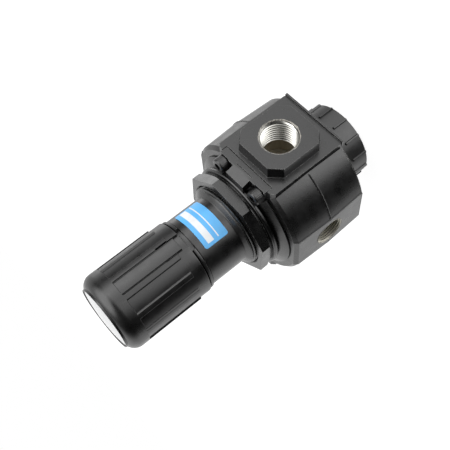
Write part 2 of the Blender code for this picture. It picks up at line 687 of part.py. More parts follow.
pilot_height = PORT_HEIGHT + PILOT_RISE
for side in (-1, 1):
    cut(
        body,
        port_cutter((0, side, 0), gauge_plane, gauge_plane - GAUGE_DEPTH, GAUGE_RADIUS, GAUGE_CHAMFER),
        rod(
            "pilot",
            PILOT_RADIUS,
            (0, side * SEAT_PASSAGE_RADIUS / 2, pilot_height),
            (0, side * (gauge_plane - GAUGE_DEPTH / 2), pilot_height),
            SMALL,
        ),
        between("lug_recess", side, LUG_INNER - GAP, BEYOND, LUG_HALF_WIDTH + GAP, LUG_FOOT - GAP, BEYOND),
    )

screw_places = [(x, y) for x in (-SCREW_X, SCREW_X) for y in (-SCREW_Y, SCREW_Y)]
for x, y in screw_places:
    cut(
        body,
        rod(
            "screw_hole",
            SCREW_RADIUS + SCREW_HOLE_PLAY,
            (x, y, SCREW_TIP - SCREW_END_PLAY),
            (x, y, BODY_TOP),
            SMALL,
        ),
    )
finish(body, "body", cast_black)

# Bottom plug, its sealing ring, and the guide for the valve's tail
plastic = material("plug_plastic", BLACK_PLASTIC, 0.5, 0.0)
plug = turned(
    "plug_form",
    [
        (GUIDE_POST_RADIUS, PLUG_TOP - GUIDE_POST_DROP),
        (GUIDE_POST_RADIUS, PLUG_RECESS_FLOOR),
        (PLUG_RECESS_RADIUS, PLUG_RECESS_FLOOR),
        (PLUG_RECESS_RADIUS, PLUG_TOP),
        (PLUG_THREAD_RADIUS - PLUG_THREAD_CHAMFER, PLUG_TOP),
        (PLUG_THREAD_RADIUS, PLUG_TOP - PLUG_THREAD_CHAMFER),
        (PLUG_THREAD_RADIUS, BODY_FOOT + plug_seal_room),
        (PLUG_THREAD_RADIUS - 2 * GAP, BODY_FOOT + plug_seal_room),
        (PLUG_THREAD_RADIUS - 2 * GAP, PLUG_HEAD_HEIGHT),
        (PLUG_RADIUS, PLUG_HEAD_HEIGHT),
        (PLUG_RADIUS, PLUG_CHAMFER),
        (PLUG_RADIUS - PLUG_CHAMFER, 0),
        (PLUG_CORE_RADIUS, 0),
        (PLUG_CORE_RADIUS - PLUG_CORE_DRAFT, PLUG_CORE_DEPTH),
        (0, PLUG_CORE_DEPTH),
        (0, GUIDE_BORE_FLOOR),
        (GUIDE_BORE_RADIUS, GUIDE_BORE_FLOOR),
        (GUIDE_BORE_RADIUS, PLUG_TOP - GUIDE_POST_DROP),
    ],
    FINE,
    ring=False,
)
closing = plug.data
bm = bmesh.new()
bm.from_mesh(closing)
bm.verts.ensure_lookup_table()
bm.edges.new((bm.verts[-1], bm.verts[0]))
bm.to_mesh(closing)
bm.free()
for k in range(PLUG_RIBS):
    rib = block(
        "plug_rib",
        (PLUG_RADIUS - PLUG_RIB, -PLUG_RIB_WIDTH / 2, PLUG_CHAMFER / 2),
        (PLUG_RADIUS + PLUG_RIB, PLUG_RIB_WIDTH / 2, PLUG_RIB_LENGTH),
    )
    rib.data.transform(Matrix.Rotation(PLUG_RIB_PHASE + tau * k / PLUG_RIBS, 4, "Z"))
    join(plug, rib)
finish(plug, "bottom_plug", plastic)
rubber = material("seal_rubber", (0.012, 0.012, 0.012, 1.0), 0.7, 0.0)
torus("plug_o_ring", plug_seal_radius, PLUG_SEAL_WIRE, BODY_FOOT + GAP + PLUG_SEAL_WIRE, rubber)

# Valve: stem, poppet and tail in one brass turning, with its rubber seal
brass = material("valve_brass", (0.72, 0.5, 0.2, 1.0), 0.35, 1.0)
tail_seal_radius = TAIL_RADIUS + TAIL_SEAL_PROUD - TAIL_SEAL_WIRE
tail_seal_height = POPPET_FOOT - TAIL_SEAL_DROP
groove_radius = tail_seal_radius - TAIL_SEAL_WIRE - GAP
groove_half = TAIL_SEAL_WIRE + GAP
valve_tip = HUB_FLANGE_FOOT - GAP
valve = turned(
    "valve_form",
    [
        (0, valve_tip),
        (STEM_RADIUS * STEM_TIP, valve_tip),
        (STEM_RADIUS, valve_tip - STEM_RADIUS),
        (STEM_RADIUS, POPPET_TOP + SEAL_THICKNESS + GAP),
        (POPPET_HUB_RADIUS, POPPET_TOP + SEAL_THICKNESS + GAP),
        (POPPET_HUB_RADIUS, POPPET_TOP),
        (POPPET_RADIUS, POPPET_TOP),
        (POPPET_RADIUS, POPPET_FOOT),
        (TAIL_RADIUS, POPPET_FOOT),
        (TAIL_RADIUS, tail_seal_height + groove_half),
        (groove_radius, tail_seal_height + groove_half),
        (groove_radius, tail_seal_height - groove_half),
        (TAIL_RADIUS, tail_seal_height - groove_half),
        (TAIL_RADIUS, GUIDE_BORE_FLOOR + TAIL_END_PLAY),
        (0, GUIDE_BORE_FLOOR + TAIL_END_PLAY),
    ],
    COARSE,
)
finish(valve, "valve", brass)
valve_seal = turned(
    "valve_seal_form",
    [
        (SEAL_RADIUS, POPPET_TOP + GAP + SEAL_THICKNESS),
        (SEAL_RADIUS, POPPET_TOP + GAP),
        (POPPET_HUB_RADIUS + GAP, POPPET_TOP + GAP),
        (POPPET_HUB_RADIUS + GAP, POPPET_TOP + GAP + SEAL_THICKNESS),
    ],
    COARSE,
    ring=True,
)
finish(valve_seal, "valve_seal", rubber)
torus("valve_o_ring", tail_seal_radius, TAIL_SEAL_WIRE, tail_seal_height, rubber)
spring_steel = material("spring_steel", (0.55, 0.55, 0.56, 1.0), 0.3, 1.0)
coil(
    "valve_spring",
    VALVE_SPRING_RADIUS,
    VALVE_SPRING_WIRE,
    PLUG_RECESS_FLOOR + GAP,
    POPPET_FOOT - GAP,
    VALVE_SPRING_TURNS,
    spring_steel,
)

# Diaphragm with one convolution, held between the hub below and the plate above
convolution_inner = SPRING_PLATE_RADIUS + 2 * GAP
convolution_outer = DIAPHRAGM_CHAMBER_RADIUS - GAP
crown = (convolution_inner + convolution_outer) / 2
reach = (convolution_outer - convolution_inner) / 2
waves = [pi * k / 4 for k in range(5)]
outer_arc = [(crown + reach * cos(a), CONVOLUTION_HEIGHT * sin(a)) for a in waves]
diaphragm = turned(
    "diaphragm_form",
    [
        (HUB_STUD_RADIUS + GAP, DIAPHRAGM_FOOT),
        (HUB_STUD_RADIUS + GAP, DIAPHRAGM_TOP),
        *[(r, DIAPHRAGM_TOP + z) for r, z in reversed(outer_arc)],
        (DIAPHRAGM_RADIUS, DIAPHRAGM_TOP),
        (DIAPHRAGM_RADIUS, DIAPHRAGM_FOOT),
        *[(r, DIAPHRAGM_FOOT + z) for r, z in outer_arc],
    ],
    ring=True,
)
finish(diaphragm, "diaphragm", rubber)

zinc = material("plated_steel", (0.6, 0.6, 0.6, 1.0), 0.35, 1.0)
stud_top = HUB_NUT_TOP + HUB_STUD_SHOW
hub = turned(
    "hub_form",
    [
        (HUB_STUD_RADIUS - HUB_STUD_CHAMFER, stud_top),
        (HUB_STUD_RADIUS, stud_top - HUB_STUD_CHAMFER),
        (HUB_STUD_RADIUS, HUB_FLANGE_TOP),
        (HUB_FLANGE_RADIUS, HUB_FLANGE_TOP),
        (HUB_FLANGE_RADIUS, HUB_FLANGE_FOOT),
        (RELIEF_RADIUS, HUB_FLANGE_FOOT),
        (RELIEF_RADIUS, stud_top),
    ],
    COARSE,
    ring=True,
)
finish(hub, "diaphragm_hub", brass)
plate = turned(
    "plate_form",
    [
        (SPRING_PLATE_RADIUS, SPRING_PLATE_TOP),
        (SPRING_PLATE_RADIUS, SPRING_PLATE_FOOT),
        (HUB_STUD_RADIUS + GAP, SPRING_PLATE_FOOT),
        (HUB_STUD_RADIUS + GAP, SPRING_PLATE_TOP),
    ],
    ring=True,
)
finish(plate, "spring_plate", zinc)
hub_nut = prism("hub_nut_form", 6, HUB_NUT_FLATS, HUB_NUT_FOOT, HUB_NUT_TOP)
hub_nut_bore = HUB_STUD_RADIUS + GAP
cut(hub_nut, rod("nut_bore", hub_nut_bore, (0, 0, SPRING_PLATE_TOP), (0, 0, stud_top)))
finish(hub_nut, "hub_nut", zinc)

# Bonnet: flange with two T lugs, threaded neck and plain tube in one casting
bonnet = turned(
    "bonnet_form",
    [
        (TUBE_RADIUS - TUBE_BEVEL, TUBE_TOP),
        (TUBE_RADIUS, TUBE_TOP - TUBE_BEVEL),
        (TUBE_RADIUS, RING_TOP + GAP),
        (TUBE_RADIUS - GROOVE_DEPTH, RING_TOP + GAP),
        (TUBE_RADIUS - GROOVE_DEPTH, RING_FOOT - GAP),
        (TUBE_RADIUS, RING_FOOT - GAP),
        (TUBE_RADIUS, TUBE_FOOT),
        (NECK_RADIUS - NECK_TAPER / 2, NECK_TOP + NECK_TAPER / 2),
        (NECK_RADIUS, NECK_TOP),
        (NECK_RADIUS, SHOULDER),
        (SHOULDER_RADIUS, SHOULDER),
        (FLANGE_RADIUS, BONNET_FOOT + FLANGE_EDGE),
        (FLANGE_RADIUS, BONNET_FOOT),
        (DIAPHRAGM_CHAMBER_RADIUS, BONNET_FOOT),
        (DIAPHRAGM_CHAMBER_RADIUS, FLARE_FOOT),
        (SPRING_BORE, FLARE_FOOT + FLARE_HEIGHT),
        (SPRING_BORE, BONNET_ROOF),
        (JOURNAL_RADIUS + SLIDE_GAP, BONNET_ROOF),
        (JOURNAL_RADIUS + SLIDE_GAP, TUBE_TOP),
    ],
    FINE,
    ring=True,
)


def lug(side):
    """One T lug: a bar that fits the port plate, and a sloping tab beside the nut."""
    bar = between("lug_bar", side, LUG_INNER, LUG_FACE, LUG_HALF_WIDTH, LUG_FOOT, LUG_TOP)
    w = TAB_HALF_WIDTH
    rings = []
    for z, face in ((LUG_FOOT, LUG_FACE), (LUG_TOP, LUG_FACE), (TAB_TOP, LUG_FACE - TAB_SLOPE)):
        rings.append([(side * x, y, z) for x, y in ((TAB_INNER, -w), (face, -w), (face, w), (TAB_INNER, w))])
    return bar, loft("lug_tab", rings)


join(bonnet, *lug(1), *lug(-1))
for x, y in screw_places:
    cut(
        bonnet,
        rod("screw_pocket", SCREW_POCKET_RADIUS, (x, y, SCREW_SEAT), (x, y, NUT_TOP), COARSE),
        rod(
            "screw_way",
            SCREW_RADIUS + SCREW_HOLE_PLAY,
            (x, y, LUG_FOOT - CUTTER_OVER),
            (x, y, SCREW_SEAT + CUTTER_OVER),
            SMALL,
        ),
    )
keyway_reach = SPRING_BORE + KEYWAY_DEPTH
cut(
    bonnet,
    block(
        "keyway",
        (-KEYWAY_WIDTH / 2, -keyway_reach, BONNET_ROOF - KEYWAY_LENGTH),
        (KEYWAY_WIDTH / 2, keyway_reach, BONNET_ROOF - CUTTER_OVER),
    ),
)
finish(bonnet, "bonnet", cast_black)

# Bonnet screws with a hexagon socket
screw_steel = material("black_steel", (0.02, 0.02, 0.02, 1.0), 0.35, 0.6)
for number, (x, y) in enumerate(screw_places, 1):
    screw = turned(
        "screw_form",
        [
            (0, SCREW_HEAD_TOP),
            (SCREW_HEAD_RADIUS - SCREW_EDGE, SCREW_HEAD_TOP),
            (SCREW_HEAD_RADIUS, SCREW_HEAD_TOP - SCREW_EDGE),
            (SCREW_HEAD_RADIUS, SCREW_HEAD_FOOT),
            (SCREW_RADIUS, SCREW_HEAD_FOOT),
            (SCREW_RADIUS, SCREW_TIP + SCREW_POINT),
            (SCREW_RADIUS - SCREW_POINT, SCREW_TIP),
            (0, SCREW_TIP),
        ],
        SMALL,
    )
    socket_floor = SCREW_HEAD_TOP - SCREW_SOCKET_DEPTH
    cut(screw, prism("socket", 6, SCREW_SOCKET_FLATS, socket_floor, SCREW_HEAD_TOP + CUTTER_OVER))
    made = finish(screw, f"bonnet_screw_{number}", screw_steel)
    made.location = (x, y, 0)

# Panel nut: eight flats, a round flange and chamfer arcs at the foot of the flats
turned_radius = NUT_CORNER_RADIUS + NUT_CHAMFER_PLAY
foot_radius = NUT_FLATS / 2 - NUT_CHAMFER_PLAY
flange_top = NUT_FOOT + NUT_FLANGE_HEIGHT
bore_top = NUT_BORE + NUT_BORE_CHAMFER
nut = turned(
    "nut_form",
    [
        (turned_radius, NUT_TOP),
        (turned_radius, NUT_FOOT + NUT_CHAMFER_TOP),
        (foot_radius, NUT_FOOT + NUT_CHAMFER_FOOT),
        (foot_radius, NUT_FOOT),
        (bore_top, NUT_FOOT),
        (NUT_BORE, NUT_FOOT + NUT_BORE_CHAMFER),
        (NUT_BORE, NUT_TOP - NUT_BORE_CHAMFER),
        (bore_top, NUT_TOP),
    ],
    FINE,
    ring=True,
)
boolean(
    nut,
    prism(
        "nut_flats", NUT_SIDES, NUT_FLATS, NUT_FOOT - CUTTER_OVER, NUT_TOP + CUTTER_OVER, NUT_CORNER_ANGLE
    ),
    "INTERSECT",
)
nut_flange = turned(
    "nut_flange",
    [
        (NUT_FLATS / 2 - 2 * NUT_FLANGE_EDGE, flange_top + NUT_FLANGE_EDGE),
        (NUT_FLANGE_RADIUS - NUT_FLANGE_EDGE, flange_top),
        (NUT_FLANGE_RADIUS, flange_top - NUT_FLANGE_EDGE),
        (NUT_FLANGE_RADIUS, NUT_FOOT + NUT_FLANGE_EDGE),
        (NUT_FLANGE_RADIUS - NUT_FLANGE_EDGE, NUT_FOOT),
        (bore_top + NUT_FLANGE_EDGE, NUT_FOOT),
        (bore_top + NUT_FLANGE_EDGE, flange_top),
    ],
    FINE,
    ring=True,
)
join(nut, nut_flange)
finish(nut, "panel_nut", cast_black)

# Label, a thin curved plate with rounded corners
label_blue = material("label_blue", (0.05, 0.35, 0.75, 1.0), 0.4, 0.0)
label_radius = TUBE_RADIUS + LABEL_LIFT
label_half = (LABEL_END - LABEL_START) / 2 * label_radius
label_middle = LABEL_BOTTOM + LABEL_HEIGHT / 2
label_turn = (LABEL_START + LABEL_END) / 2
across = [label_half * k / 8 for k in range(-7, 8)]
rounding = [LABEL_CORNER * (1 - cos(pi * k / 8)) for k in range(5)]
stations = sorted({*across, *(label_half - s for s in rounding), *(s - label_half for s in rounding)})
bm = bmesh.new()
rails = []
for s in stations:
    inset = max(abs(s) - (label_half - LABEL_CORNER), 0)
    tall = LABEL_HEIGHT / 2 - LABEL_CORNER + sqrt(max(LABEL_CORNER**2 - inset**2, 0))
    angle = label_turn + s / label_radius
    x, y = label_radius * cos(angle), label_radius * sin(angle)
    rails.append([bm.verts.new((x, y, label_middle - tall)), bm.verts.new((x, y, label_middle + tall))])
for (a, b), (c, d) in zip(rails, rails[1:]):
    bm.faces.new((a, c, d, b))
label = from_bmesh("label_form", bm)
thicken = label.modifiers.new("thickness", "SOLIDIFY")
thicken.thickness = LABEL_THICKNESS
thicken.offset = 1.0 if label.data.polygons[0].normal.dot(Vector((1, 0, 0))) > 0 else -1.0
finish(label, "label", label_blue, 50)

# Adjusting screw, held up against the roof of the bonnet by its flange
spindle = turned(
    "spindle_form",
    [
        (0, DRIVE_TOP),
        (JOURNAL_RADIUS, DRIVE_TOP),
        (JOURNAL_RADIUS, SPINDLE_FLANGE_TOP),
        (SPINDLE_FLANGE_RADIUS, SPINDLE_FLANGE_TOP),
        (SPINDLE_FLANGE_RADIUS, SPINDLE_FLANGE_FOOT),
        (SPINDLE_THREAD_RADIUS, SPINDLE_FLANGE_FOOT),
        (SPINDLE_THREAD_RADIUS, SPINDLE_FOOT + SPINDLE_POINT),
        (SPINDLE_THREAD_RADIUS - SPINDLE_POINT, SPINDLE_FOOT),
        (0, SPINDLE_FOOT),
    ],
    COARSE,
)
drive_hex = prism("drive_hex", 6, DRIVE_FLATS, DRIVE_FOOT - CUTTER_OVER, DRIVE_TOP + 2 * CUTTER_OVER)
drive_waste = rod("drive_waste", 2 * JOURNAL_RADIUS, (0, 0, DRIVE_FOOT), (0, 0, DRIVE_TOP + CUTTER_OVER))
cut(drive_waste, drive_hex)
cut(spindle, drive_waste)
finish(spindle, "spindle", zinc)
washer = turned(
    "washer_form",
    [
        (WASHER_RADIUS, WASHER_FOOT + WASHER_THICKNESS),
        (WASHER_RADIUS, WASHER_FOOT),
        (JOURNAL_RADIUS + SLIDE_GAP, WASHER_FOOT),
        (JOURNAL_RADIUS + SLIDE_GAP, WASHER_FOOT + WASHER_THICKNESS),
    ],
    COARSE,
    ring=True,
)
finish(washer, "thrust_washer", material("acetal", (0.75, 0.75, 0.7, 1.0), 0.5, 0.0))

# Upper spring seat, a nut on the adjusting screw that two ears keep from turning
boss_foot = SPRING_NUT_FOOT - SPRING_NUT_BOSS_LENGTH
spring_nut = turned(
    "spring_nut_form",
    [
        (SPRING_NUT_RADIUS, SPRING_NUT_TOP),
        (SPRING_NUT_RADIUS, SPRING_NUT_FOOT),
        (SPRING_NUT_BOSS_RADIUS, SPRING_NUT_FOOT),
        (SPRING_NUT_BOSS_RADIUS, boss_foot),
        (SPINDLE_THREAD_RADIUS + SLIDE_GAP, boss_foot),
        (SPINDLE_THREAD_RADIUS + SLIDE_GAP, SPRING_NUT_TOP),
    ],
    ring=True,
)
ear_reach = keyway_reach - SLIDE_GAP
ear_half = KEYWAY_WIDTH / 2 - SLIDE_GAP
for side in (-1, 1):
    root, tip = side * (SPRING_NUT_RADIUS - EAR_ROOT), side * ear_reach
    low, high = min(root, tip), max(root, tip)
    join(spring_nut, block("ear", (-ear_half, low, SPRING_NUT_FOOT), (ear_half, high, SPRING_NUT_TOP)))
finish(spring_nut, "spring_nut", brass)
coil(
    "control_spring",
    SPRING_RADIUS,
    SPRING_WIRE,
    SPRING_PLATE_TOP + GAP,
    SPRING_NUT_FOOT - GAP,
    SPRING_TURNS,
    spring_steel,
)

# Clip ring in its groove, open where the knob's wide pad comes down
ring_inner = TUBE_RADIUS - GROOVE_DEPTH + GAP
clip = turned(
    "clip_form",
    [
        (RING_OUTER_RADIUS, RING_TOP),
        (RING_OUTER_RADIUS, RING_FOOT),
        (ring_inner, RING_FOOT),
        (ring_inner, RING_TOP),
    ],
    FINE,
    ring=True,
)
pad_turn = (PAD_START + PAD_END) / 2
mouth = (pad_turn - RING_OPENING / 2, pad_turn + RING_OPENING / 2)
clip_heights = (RING_FOOT - CUTTER_OVER, RING_TOP + CUTTER_OVER)
cut(clip, sector("clip_mouth", mouth, ring_inner / 2, BEYOND, *clip_heights))
finish(clip, "lock_ring", material("clip_plastic", BLACK_PLASTIC, 0.4, 0.0))

# Knob: cup with a large round end, ribs flush with the end, and one wide pad
knob_plastic = material("knob_plastic", BLACK_PLASTIC, 0.45, 0.0)
round_end = [
    (
        CREST_RADIUS - KNOB_ROUNDING * (1 - cos(a)),
        KNOB_TOP - KNOB_ROUNDING * (1 - sin(a)),
    )
    for a in (pi / 2 * (1 - k / 6) for k in range(7))
]
disc_seat = DISC_RADIUS + GAP
knob = turned(
    "knob_form",
    [
        (0, DISC_FLOOR),
        (disc_seat, DISC_FLOOR),
        (disc_seat, KNOB_TOP - DISC_SEAT_EDGE),
        *[(r, z) for r, z in round_end if r > disc_seat],
        (CREST_RADIUS, RIB_HEAD),
        (KNOB_RADIUS, RIB_HEAD),
        (KNOB_RADIUS, KNOB_FOOT + KNOB_EDGE),
        (KNOB_RADIUS - KNOB_EDGE, KNOB_FOOT),
        (KNOB_BORE + KNOB_LIP, KNOB_FOOT),
        (KNOB_BORE, KNOB_FOOT + KNOB_LIP_HEIGHT),
        (KNOB_BORE, KNOB_CAVITY_TOP),
        (KNOB_HUB_RADIUS, KNOB_CAVITY_TOP),
        (KNOB_HUB_RADIUS, KNOB_HUB_FOOT),
        (0, KNOB_HUB_FOOT),
    ],
    FINE,
)


def skin(name, start, end, reach, foot, steps):
    """A raised strip on the knob between two angles, from its foot up into the smooth head."""
    inside = (KNOB_BORE + KNOB_RADIUS) / 2
    angles = [start + (end - start) * k / steps for k in range(steps + 1)]
    outline = [(reach * cos(a), reach * sin(a)) for a in angles]
    outline += [(inside * cos(a), inside * sin(a)) for a in reversed(angles)]
    return loft(name, [[(x, y, z) for x, y in outline] for z in (foot, RIB_HEAD + SKIN_BITE)])


knob_slot_foot = KNOB_FOOT - CUTTER_OVER
notch_inner = (SPRING_BORE + KNOB_BORE) / 2
tongue_top = PAD_FOOT + TONGUE_LENGTH
cut(knob, sector("pad_notch", (PAD_START, PAD_END), notch_inner, 2 * CREST_RADIUS, knob_slot_foot, PAD_FOOT))
join(knob, skin("knob_pad", PAD_START, PAD_END, PAD_RADIUS, PAD_FOOT, 4))
for k in range(KNOB_RIBS):
    middle = KNOB_RIB_PHASE + tau * k / KNOB_RIBS
    rib_start, rib_end = middle - KNOB_RIB_ANGLE / 2, middle + KNOB_RIB_ANGLE / 2
    join(knob, skin("knob_rib", rib_start, rib_end, CREST_RADIUS, RIB_FOOT, 2))
for edge, away in ((PAD_START, -1), (PAD_END, 1)):
    slot = (edge - away * TONGUE_TRIM, edge + away * TONGUE_SLOT)
    cut(knob, sector("tongue_slot", slot, notch_inner, 2 * CREST_RADIUS, knob_slot_foot, tongue_top))
drive_socket_flats = DRIVE_FLATS + 2 * SLIDE_GAP
drive_socket_top = DRIVE_TOP + DRIVE_END_PLAY
cut(knob, prism("drive_socket", 6, drive_socket_flats, KNOB_HUB_FOOT - CUTTER_OVER, drive_socket_top))
finish(knob, "knob", knob_plastic)

# White domed disc in the end of the knob
dome = [(DISC_RADIUS * k / 4, KNOB_TOP + DISC_DOME * (1 - (k / 4) ** 2)) for k in range(5)]
disc_foot = DISC_FLOOR + GAP
disc = turned("disc_form", dome + [(DISC_RADIUS, disc_foot), (0, disc_foot)])
finish(disc, "knob_disc", material("disc_white", (0.8, 0.8, 0.8, 1.0), 0.2, 0.0))

for helper in list(cutters.objects):
    bpy.data.objects.remove(helper, do_unlink=True)
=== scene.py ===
"""Looks of the in-line pressure regulator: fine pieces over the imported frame, finishes, light and camera."""

import json
from math import acos, ceil, cos, pi, radians, sin, sqrt, tau

import bmesh
import bpy
from mathutils import Matrix, Vector, noise


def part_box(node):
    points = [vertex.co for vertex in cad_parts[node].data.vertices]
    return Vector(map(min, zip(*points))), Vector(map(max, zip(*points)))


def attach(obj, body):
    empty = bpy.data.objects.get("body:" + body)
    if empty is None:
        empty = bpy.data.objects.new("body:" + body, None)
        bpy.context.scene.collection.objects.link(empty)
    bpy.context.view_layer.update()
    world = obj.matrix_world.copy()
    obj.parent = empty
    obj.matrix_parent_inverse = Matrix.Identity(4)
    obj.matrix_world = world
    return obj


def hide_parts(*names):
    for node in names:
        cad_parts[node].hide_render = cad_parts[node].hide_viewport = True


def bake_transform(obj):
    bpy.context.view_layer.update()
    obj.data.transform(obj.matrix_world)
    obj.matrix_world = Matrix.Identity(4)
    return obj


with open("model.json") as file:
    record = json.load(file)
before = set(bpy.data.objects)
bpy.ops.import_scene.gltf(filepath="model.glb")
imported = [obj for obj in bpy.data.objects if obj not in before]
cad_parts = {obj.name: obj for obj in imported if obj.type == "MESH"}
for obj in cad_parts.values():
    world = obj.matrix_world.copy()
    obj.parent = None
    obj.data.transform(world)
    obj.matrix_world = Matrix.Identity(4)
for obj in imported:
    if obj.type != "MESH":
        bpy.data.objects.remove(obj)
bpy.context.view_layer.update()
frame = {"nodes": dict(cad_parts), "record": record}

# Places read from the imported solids, in metres
BODY_LOW, BODY_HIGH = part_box("body")
PAD_FACE = BODY_HIGH[0]
BODY_TOP = BODY_HIGH[2]
TUBE_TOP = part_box("bonnet")[1][2]
LUG_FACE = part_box("bonnet")[1][0]
NUT_FOOT, NUT_TOP = (corner[2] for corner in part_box("panel_nut"))
NUT_FLANGE_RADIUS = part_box("panel_nut")[1][1]
KNOB_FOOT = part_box("knob")[0][2]
CREST_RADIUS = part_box("knob")[1][1]
DISC_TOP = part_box("knob_disc")[1][2]
DISC_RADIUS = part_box("knob_disc")[1][1]
RING_FOOT, RING_TOP = (corner[2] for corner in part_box("lock_ring"))
LABEL_FOOT, LABEL_HEAD = (corner[2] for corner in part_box("label"))
PLUG_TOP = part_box("bottom_plug")[1][2]
SCREW_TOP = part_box("bonnet_screw_1")[1][2]
SCREW_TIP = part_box("bonnet_screw_1")[0][2]
DRIVE_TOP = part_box("spindle")[1][2]

# Body casting
GAP = 0.0003
BODY_FOOT = 0.0220
PORT_HEIGHT = (BODY_FOOT + BODY_TOP) / 2
BODY_HALF_HEIGHT = BODY_TOP - PORT_HEIGHT
BODY_RADIUS = 0.0407
BODY_DRAFT = 0.0009
GAUGE_FLAT = BODY_RADIUS - 0.00115
GAUGE_FACE = GAUGE_FLAT * (BODY_RADIUS + BODY_DRAFT) / BODY_RADIUS  # at the ports' height
GAUGE_BOSS_HALF = 0.0117  # the gauge flats stand a little proud of the round at their edges
GAUGE_BOSS_EDGE = 0.00005
BODY_BEVEL = 0.0020
BODY_BEVEL_INWARD = 0.0018
BODY_EASE = 0.0004
QUARTER_STEPS = 30  # facets on each quarter of the casting's round
FOOT_GROOVE = 0.0225
FOOT_GROOVE_WIDTH = 0.00025
FOOT_GROOVE_DEPTH = 0.0003
FOOT_GROOVE_CUTTER = 0.0030  # the ring that cuts it starts this far outside
FOOT_GROOVE_END = 0.0040  # it stops this far behind the plates' faces
PLATE_FACE = LUG_FACE + 0.0002
PLATE_BACK = BODY_RADIUS / 2
PLATE_HALF_WIDTH = 0.0214
PLATE_CORNER = 0.0020
RAIL_REACH = 0.0013
RAIL_ROOT = 0.0025
RAIL_OVERLAP = 0.0002
PAD_HALF_WIDTH = 0.0165
PAD_HALF_HEIGHT = 0.0176
PAD_CORNER = 0.0060
PAD_DRAFT = 0.0006
FLASH_START = radians(32)
FLASH_END = radians(75.5)
FLASH_STEPS = 90
FLASH_HALF_WIDTH = 0.0006
FLASH_HEIGHT = 0.0004
FLASH_ROOT = 0.0004  # its section starts this far under the casting's face
FLASH_MEAN = 0.85  # share of its height round which noise varies it
FLASH_ROUGH = 0.35
FLASH_WIDTH_ROUGH = 0.25
FLASH_WAVES = 40
FLASH_WAVES_FINE = 150
FLASH_DRIFT = 0.00012
FLASH_DRIFT_WAVES = 25

# Ports: half-inch and gauge threads
THREAD_COLUMNS = 96
THREAD_STEPS = 12  # points from one ridge to the next
THREAD_ROOT_FLAT = 0.12  # shares of half a pitch
THREAD_FLANK = 0.72
THREAD_BACKING = 0.0003  # a thread's sleeve reaches this far outside its mouth
THREAD_INSET = 0.00004  # it ends this far inside its port's face
RIM_RISE = 0.00001  # the chipped rim stands this far over its end
MOUTH_STEPS = 120
MOUTH_EDGE = 0.0004  # depth of a mouth's ragged edge
MOUTH_EDGE_FOOT = 0.0006
PORT_CHIP = (0.00012, 0.0003)  # how far paint has chipped from a mouth, and how raggedly
GAUGE_CHIP = (0.00006, 0.0001)
CHIP_WAVES = 3.2
CHIP_WAVES_FINE = 11
CHIP_FINE = 0.6
CHAMFER_SLOPE = 0.85  # radius lost per depth in a port's mouth
PORT_GROOVE_SHADE = 0.60  # this share of a thread's depth, next to its root, is painted dark as shade
GAUGE_GROOVE_SHADE = 0.15
GROOVE_SHADE_MARGIN = 0.00005  # the painted shade in a groove ends this far from the chamfer
PORT_PITCH = 0.001814
PORT_CREST = 0.00932
PORT_ROOT = 0.01048
PORT_MOUTH = 0.01082
PORT_THREAD = 0.0165
INLET_END = 0.0105
OUTLET_END = 0.0185
GAUGE_PITCH = 0.001337
GAUGE_CREST = 0.0075
GAUGE_ROOT = 0.0083
GAUGE_MOUTH = 0.0085
GAUGE_DEPTH = 0.0140
GAUGE_THREAD = 0.0115
PILOT_RADIUS = 0.0025
PILOT_RISE = 0.0025
RISER_RADIUS = 0.0040
RISER_FROM_AXIS = 0.0198

# Chambers
PLUG_BORE = 0.0172
VALVE_CHAMBER_TOP = 0.0430
SEAT_LIP = 0.0417
SEAT_LIP_RADIUS = 0.0084
SEAT_PASSAGE_RADIUS = 0.0070
CHAMBER_RADIUS = 0.0240
CHAMBER_FLOOR = 0.0580
DIAPHRAGM_RADIUS = 0.0275
DIAPHRAGM_SEAT = 0.0020
SEAL_ROOM = 0.0026
SEAL_ROOM_RADIUS = 0.0195

# Bonnet
BONNET_FOOT = BODY_TOP + GAP
FLANGE_RADIUS = 0.0351
FLANGE_EDGE = 0.0006
BONNET_EASE = 0.0005
SHOULDER_RADIUS = 0.0288
SHOULDER = NUT_FOOT - GAP
SHOULDER_SKIN = 0.0001  # the screws' pockets stop this far under it
NECK_CREST = 0.0246
NECK_ROOT = 0.0237
NECK_PITCH = 0.0015
NECK_TOP = SHOULDER + 0.0125
NECK_UNDERCUT = 0.0001  # the thread's roots lie this far inside the neck's core
NECK_BACKING = 0.0006
NECK_FADE = 0.0008
TUBE_FOOT = NECK_TOP + 0.0020
TUBE_RADIUS = 0.02065
TUBE_BEVEL = 0.0012
SPRING_BORE = 0.0172
BONNET_ROOF = TUBE_TOP - 0.0054
JOURNAL_BORE = 0.0045
FLARE_FOOT = BODY_TOP + 0.0033
FLARE_HEIGHT = 0.0032
GROOVE_DEPTH = 0.0010
KEYWAY_HALF = 0.0022
KEYWAY_REACH = SPRING_BORE + 0.0013
KEYWAY_FOOT = BONNET_ROOF - 0.0366
LUG_INNER = 0.0302
LUG_HALF_WIDTH = 0.0171
LUG_FOOT = BODY_TOP - 0.0031
LUG_TOP = BODY_TOP + 0.0020
TAB_HALF_WIDTH = 0.0064
TAB_INNER = 0.0319
TAB_TOP = LUG_TOP + 0.0048
TAB_SLOPE = 0.0016
LUG_EASE = 0.00035
LUG_SLOT_HALF = 0.0060
LUG_SLOT_WIDTH = 0.00045
LUG_SLOT_DEPTH = 0.0006
SCREW_SEAT = LUG_TOP - 0.0005
SCREW_POCKET = 0.0056
SCREW_HOLE = 0.0028

